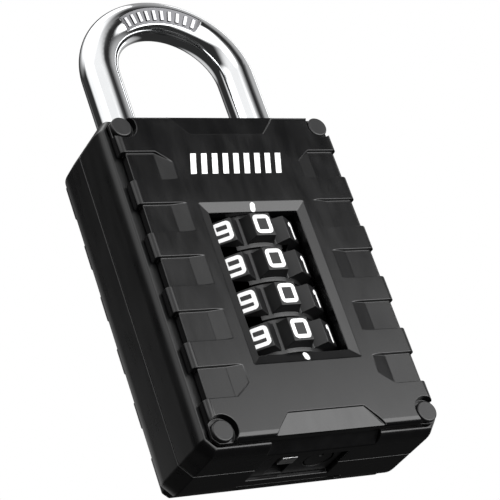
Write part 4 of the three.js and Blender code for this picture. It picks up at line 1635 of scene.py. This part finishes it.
@dataclass
class Shackle:
    """The chromed rod with its recessed band and plain ribs, and what hangs on its heel."""

    rod: float = 4
    leg: float = 15.9
    spring_line: float = 88
    rise: float = 15
    band_sweep: float = 76
    band_depth: float = 0.45
    band_lean: float = 15
    neck: float = 2.6
    foot: float = 3.6
    foot_height: float = 0.9
    shoulder: float = 52.883
    toe: float = 66.3
    sides: int = 72
    heel_sides: int = 64
    band_sides: int = 180
    floor_facing: float = 0.98
    floor_spare: float = 0.03
    rib_sweep: float = 62
    rib_steps: int = 40
    ribs: int = 10
    rib: Point3 = (0.85, 0.6, 2.3)
    rib_edge: float = 0.14
    edge: float = 0.16
    kink: float = 25
    steps: int = 72

    def path(self, name: str, points: Sequence[Point3]) -> bpy.types.Object:
        """Makes a bare line that a tree can follow."""
        work = bmesh.new()
        spots = [work.verts.new(Vector(point) * MM) for point in points]
        for near, far in zip(spots, spots[1:]):
            work.edges.new((near, far))
        return Bench.keep(name, work)

    def bow(
        self, start: float, end: float, steps: int, level: float = 0, inward: float = 0
    ) -> list[Point3]:
        """Points on the bow.

        Args:
            start: The first angle, measured from the right leg, in degrees.
            end: The last angle.
            steps: How many steps there are between them.
            level: How far behind the bow's middle the points lie.
            inward: How far inside the bow's middle the points lie.

        Returns:
            The points in order.
        """
        wide, tall = self.leg - inward, self.rise - inward
        points = []
        for step in range(steps + 1):
            angle = math.radians(start + (end - start) * step / steps)
            points.append((wide * math.cos(angle), level, self.spring_line + tall * math.sin(angle)))
        return points

    def band_tool(self) -> bpy.types.Object:
        """The tool that cuts the band's floor, which leans towards the inside of the bow."""
        lean = math.radians(self.band_lean)
        out = Vector((-math.sin(lean), -math.cos(lean)))
        along = Vector((math.cos(lean), -math.sin(lean)))
        floor = Vector((self.rise, 0)) + out * (self.rod - self.band_depth)
        corners = [floor - along * self.rod, floor + along * self.rod]
        corners += [corners[1] + out * self.rod, corners[0] + out * self.rod]
        line = [tuple(corner) for corner in corners]
        ring = Bench.turned("band", Axis.Y, (0, self.spring_line), line, self.band_sides, True)
        reach, half = 2 * self.leg, math.radians(self.band_sweep / 2)
        side, top = reach * math.sin(half), self.spring_line + reach * math.cos(half)
        outline = [(0, self.spring_line), (side, top), (0, self.spring_line + 2 * reach), (-side, top)]
        sector = Bench.prism("sector", Axis.Y, outline, -reach, reach)
        return Bench.carve(ring, [sector], Cut.COMMON)

    def on_floor(self, centre: Vector, normal: Vector) -> bool:
        """Whether a face lies on the band's floor.

        Args:
            centre: The middle of the face in millimetres.
            normal: The face's normal.

        Returns:
            True when it does.
        """
        lean = math.radians(self.band_lean)
        radial = Vector((centre.x, 0, centre.z - self.spring_line))
        reach = radial.length
        if abs(math.degrees(math.atan2(centre.x, radial.z))) > self.band_sweep / 2:
            return False
        out = -radial.normalized() * math.sin(lean) - Vector((0, math.cos(lean), 0))
        height = -(reach - self.rise) * math.sin(lean) - centre.y * math.cos(lean)
        off = abs(height - self.rod + self.band_depth)
        return normal.dot(out) > self.floor_facing and off < self.floor_spare

    def build(self, palette: Palette) -> None:
        """Makes and sets the shackle and the fittings on its heel."""
        low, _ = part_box("shackle")
        points = [(-self.leg, 0, self.toe), *self.bow(180, 0, self.steps), (self.leg, 0, self.shoulder)]
        sweep = sweep_recipe("rod_sweep", self.rod, self.sides, palette.chrome)
        rod = sweep.run(self.path("bow_rod", points))
        Bench.carve(rod, [self.band_tool()])
        bottom = low.z / MM
        heel = Bench.turned(
            "heel",
            Axis.Z,
            (self.leg, 0),
            [
                (self.foot, bottom),
                (self.foot, bottom + self.foot_height),
                (self.neck, bottom + self.foot_height),
                (self.neck, self.shoulder + 1),
            ],
            self.heel_sides,
        )
        Bench.carve(rod, [heel], Cut.JOIN)
        Bench.soften(rod, self.edge, self.kink)
        rod.data.materials.clear()
        for finish in (palette.chrome, palette.band):
            rod.data.materials.append(finish)
        for face in rod.data.polygons:
            face.material_index = int(self.on_floor(face.center / MM, face.normal))
        Shelf.put(rod, "shackle_assembly", "shackle_chrome", nodes=["shackle"])
        floor, lean = self.rod - self.band_depth, math.radians(self.band_lean)
        inward, level = floor * math.sin(lean), -floor * math.cos(lean)
        start, end = 90 + self.rib_sweep / 2, 90 - self.rib_sweep / 2
        line = self.path("band_ribs", self.bow(start, end, self.rib_steps, level, inward))
        ribs = rib_recipe("rib_row", self.ribs, self.rib, self.band_lean, palette.rib).run(line)
        Bench.soften(ribs, self.rib_edge)
        Shelf.put(ribs, "shackle_assembly", "shackle_chrome", palette.rib)
        for node, name in (("lift_bridge", "bridge"), ("spindle", "spindle_bar"), ("spindle_clip", "clip")):
            Shelf.carry(node, name, "shackle_assembly", "steel_fittings", palette.steel)


@dataclass
class LockWorks:
    """The cage, the comb, the lift spring and its post inside the case."""

    spring_radius: float = 1.9
    wire: float = 0.7
    coils: float = 8
    edge: float = 0.08

    def spring(self, palette: Palette) -> None:
        """Makes the lift spring, which stretches between its shelf and the heel."""
        low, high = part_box("lift_spring")
        post_low, post_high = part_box("spring_post")
        blank = Bench.keep("coil", bmesh.new())
        height = (high.z - low.z) / MM - self.wire
        coil = coil_recipe("spring_coil", self.spring_radius, self.wire, height, self.coils, palette.spring)
        coil.run(blank)
        middle = (post_low + post_high) / 2
        place = Vector((middle.x, middle.y, low.z + self.wire / 2 * MM))
        blank.data.transform(Matrix.Translation(place))
        blank.data.shade_smooth()
        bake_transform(blank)
        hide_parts("lift_spring")
        log.info("coil stretches between case and shackle_assembly")

    def build(self, palette: Palette) -> None:
        """Makes and sets the pieces inside the case."""
        self.spring(palette)
        fittings = (
            ("dial_cage", "cage", "steel_fittings", palette.cage),
            ("detent_comb", "comb", "spring_steel", palette.spring),
            ("cage_screw_lower", "cage_fixing_lower", "steel_fittings", palette.steel),
            ("cage_screw_upper", "cage_fixing_upper", "steel_fittings", palette.steel),
            ("spring_post", "post", "steel_fittings", palette.steel),
        )
        for node, name, slot, material in fittings:
            Shelf.carry(node, name, "case", slot, material, self.edge)


@dataclass
class BottomFittings:
    """The insert in the underside with the reset slider and the reset cam."""

    edge: float = 0.12
    angle: float = 30
    strips: int = 3

    def build(self, palette: Palette) -> None:
        """Makes and sets the three fittings."""
        fittings = (
            ("bottom_insert", "insert", "case", "insert_plastic", palette.insert),
            ("reset_slider", "slider_tab", "slider", "slider_metal", palette.slider),
            ("reset_cam", "cam_disc", "cam", "insert_plastic", palette.insert),
        )
        for node, name, body, slot, material in fittings:
            Shelf.carry(node, name, body, slot, material, self.edge, self.angle, self.strips)


# ------------------------------------------------------------------- studio


@dataclass(frozen=True)
class Card:
    """A soft light of even brightness, placed by its direction from the lock."""

    name: str
    azimuth: float
    elevation: float
    distance: float
    width: float
    height: float
    brightness: float


@dataclass(frozen=True)
class Glow:
    """A soft patch of light on the studio's dome, brightest inside and fading outwards."""

    azimuth: float
    elevation: float
    inner: float
    outer: float
    brightness: float


def heading(azimuth: float, elevation: float) -> Vector:
    """The direction of an azimuth and an elevation in degrees, azimuth 0 being the front."""
    turn, tilt = math.radians(azimuth), math.radians(elevation)
    return Vector((math.sin(turn) * math.cos(tilt), -math.cos(turn) * math.cos(tilt), math.sin(tilt)))


@dataclass
class Studio:
    """The floor, the lights, the backdrop and the camera."""

    target: Point3 = (0, 0, 40)
    cards: tuple[Card, ...] = (
        Card("top", 180, 82, 600, 420, 320, 1.0),
        Card("right_back", 112, 32, 650, 90, 620, 1.6),
    )
    glows: tuple[Glow, ...] = (
        Glow(34, -7, 20, 33.5, 4.7),
        Glow(0, 10, 9, 22, 2.6),
        Glow(0, -24, 14, 34, 2.6),
        Glow(-28, 34, 16, 50, 1.08),
        Glow(-82, 34, 15, 30, 1.2),
        Glow(-90, 75, 20, 42, 1.1),
        Glow(100, 30, 18, 50, 0.5),
        Glow(-144, 62, 5, 32, 0.5),
        Glow(190, 8, 10, 26, 0.7),
        Glow(118, -4, 6, 20, 0.4),
    )
    camera_place: Point3 = (-201.43, -282.36, -119.72)
    right: Point3 = (0.84604, -0.43840, -0.30336)
    up: Point3 = (0.03251, -0.52554, 0.85015)
    forward: Point3 = (0.53213, 0.72912, 0.43038)
    lens: float = 141.29
    sensor: float = 36
    clip: Point2 = (0.01, 20)
    floor_half: float = 4000
    floor_drop: float = 0.05
    floor_roughness: float = 0.9
    floor_tone: float = 0.45
    floor_glow: float = 0.62
    fill: float = 0.03

    def camera(self) -> None:
        """Makes the camera."""
        data = bpy.data.cameras.new("camera")
        data.lens = self.lens
        data.sensor_width = self.sensor
        data.sensor_fit = "HORIZONTAL"
        data.clip_start, data.clip_end = self.clip
        made = bpy.data.objects.new("camera", data)
        bpy.context.scene.collection.objects.link(made)
        right, up, back = Vector(self.right), Vector(self.up), -Vector(self.forward)
        turn = Matrix((right, up, back)).transposed().to_4x4()
        made.matrix_world = Matrix.Translation(Vector(self.camera_place) * MM) @ turn
        bpy.context.scene.camera = made

    def lights(self) -> None:
        """Makes the soft lights."""
        centre = Vector(self.target) * MM
        for card in self.cards:
            data = bpy.data.lights.new(card.name, "AREA")
            data.shape = "RECTANGLE"
            data.size, data.size_y = card.width * MM, card.height * MM
            data.energy = card.brightness * math.pi * data.size * data.size_y
            made = bpy.data.objects.new(card.name, data)
            bpy.context.scene.collection.objects.link(made)
            out = heading(card.azimuth, card.elevation)
            made.location = centre + out * card.distance * MM
            made.rotation_euler = (-out).to_track_quat("-Z", "Y").to_euler()
            made.visible_camera = False

    def world(self) -> None:
        """Makes a white backdrop, and a dark dome with soft patches of light for the lock."""
        world = bpy.data.worlds.new("backdrop")
        bpy.context.scene.world = world
        world.use_nodes = True
        nodes, links = world.node_tree.nodes, world.node_tree.links
        nodes.clear()
        output = nodes.new("ShaderNodeOutputWorld")
        mix = nodes.new("ShaderNodeMixShader")
        seen, felt = nodes.new("ShaderNodeBackground"), nodes.new("ShaderNodeBackground")
        seen.inputs["Color"].default_value = (1, 1, 1, 1)
        felt.inputs["Color"].default_value = (1, 1, 1, 1)
        around = nodes.new("ShaderNodeTexCoord").outputs["Generated"]
        total = nodes.new("ShaderNodeValue")
        total.outputs[0].default_value = self.fill
        light = total.outputs[0]
        for glow in self.glows:
            facing = nodes.new("ShaderNodeVectorMath")
            facing.operation = "DOT_PRODUCT"
            facing.inputs[1].default_value = heading(glow.azimuth, glow.elevation)
            links.new(around, facing.inputs[0])
            fade = nodes.new("ShaderNodeMapRange")
            fade.interpolation_type = "SMOOTHSTEP"
            fade.inputs["From Min"].default_value = math.cos(math.radians(glow.outer))
            fade.inputs["From Max"].default_value = math.cos(math.radians(glow.inner))
            fade.inputs["To Max"].default_value = glow.brightness
            links.new(facing.outputs["Value"], fade.inputs["Value"])
            gathered = nodes.new("ShaderNodeMath")
            links.new(light, gathered.inputs[0])
            links.new(fade.outputs["Result"], gathered.inputs[1])
            light = gathered.outputs[0]
        links.new(light, felt.inputs["Strength"])
        path = nodes.new("ShaderNodeLightPath")
        links.new(path.outputs["Is Camera Ray"], mix.inputs["Fac"])
        links.new(felt.outputs[0], mix.inputs[1])
        links.new(seen.outputs[0], mix.inputs[2])
        links.new(mix.outputs[0], output.inputs["Surface"])

    def floor(self) -> None:
        """Makes the pale floor under the lock, which is clear from below."""
        reach = self.floor_half
        work = bmesh.new()
        corners = [(-reach, -reach), (reach, -reach), (reach, reach), (-reach, reach)]
        work.faces.new([work.verts.new(Vector((x, y, -self.floor_drop)) * MM) for x, y in corners])
        made = Bench.keep("floor", work)
        material = bpy.data.materials.new("floor_paper")
        material.use_nodes = True
        nodes, links = material.node_tree.nodes, material.node_tree.links
        shader = nodes["Principled BSDF"]
        tone = self.floor_tone
        shader.inputs["Base Color"].default_value = (tone, tone, tone, 1)
        shader.inputs["Roughness"].default_value = self.floor_roughness
        shader.inputs["Emission Color"].default_value = (1, 1, 1, 1)
        shader.inputs["Emission Strength"].default_value = self.floor_glow
        clear = nodes.new("ShaderNodeBsdfTransparent")
        side = nodes.new("ShaderNodeNewGeometry")
        mix = nodes.new("ShaderNodeMixShader")
        links.new(side.outputs["Backfacing"], mix.inputs["Fac"])
        links.new(shader.outputs[0], mix.inputs[1])
        links.new(clear.outputs[0], mix.inputs[2])
        links.new(mix.outputs[0], nodes["Material Output"].inputs["Surface"])
        made.data.materials.append(material)
        for ray in ("diffuse", "glossy", "transmission", "shadow", "volume_scatter"):
            setattr(made, f"visible_{ray}", False)

    def build(self) -> None:
        """Sets up the studio."""
        bpy.context.scene.view_settings.view_transform = "Standard"
        self.camera()
        self.lights()
        self.world()
        self.floor()


def main() -> None:
    """Builds the lock and its studio."""
    logging.basicConfig(level=logging.INFO, format="%(name)s: %(message)s")
    palette = Palette()
    sizes = CaseSizes.measured()
    Studio().build()
    CaseShells(sizes).build(palette)
    ArmourPlates(sizes).build(palette)
    CornerPlugs(sizes).build(palette)
    Prints(sizes).build(palette)
    DialStack().build(palette)
    Shackle().build(palette)
    LockWorks().build(palette)
    BottomFittings().build(palette)


if __name__ == "__main__":
    main()
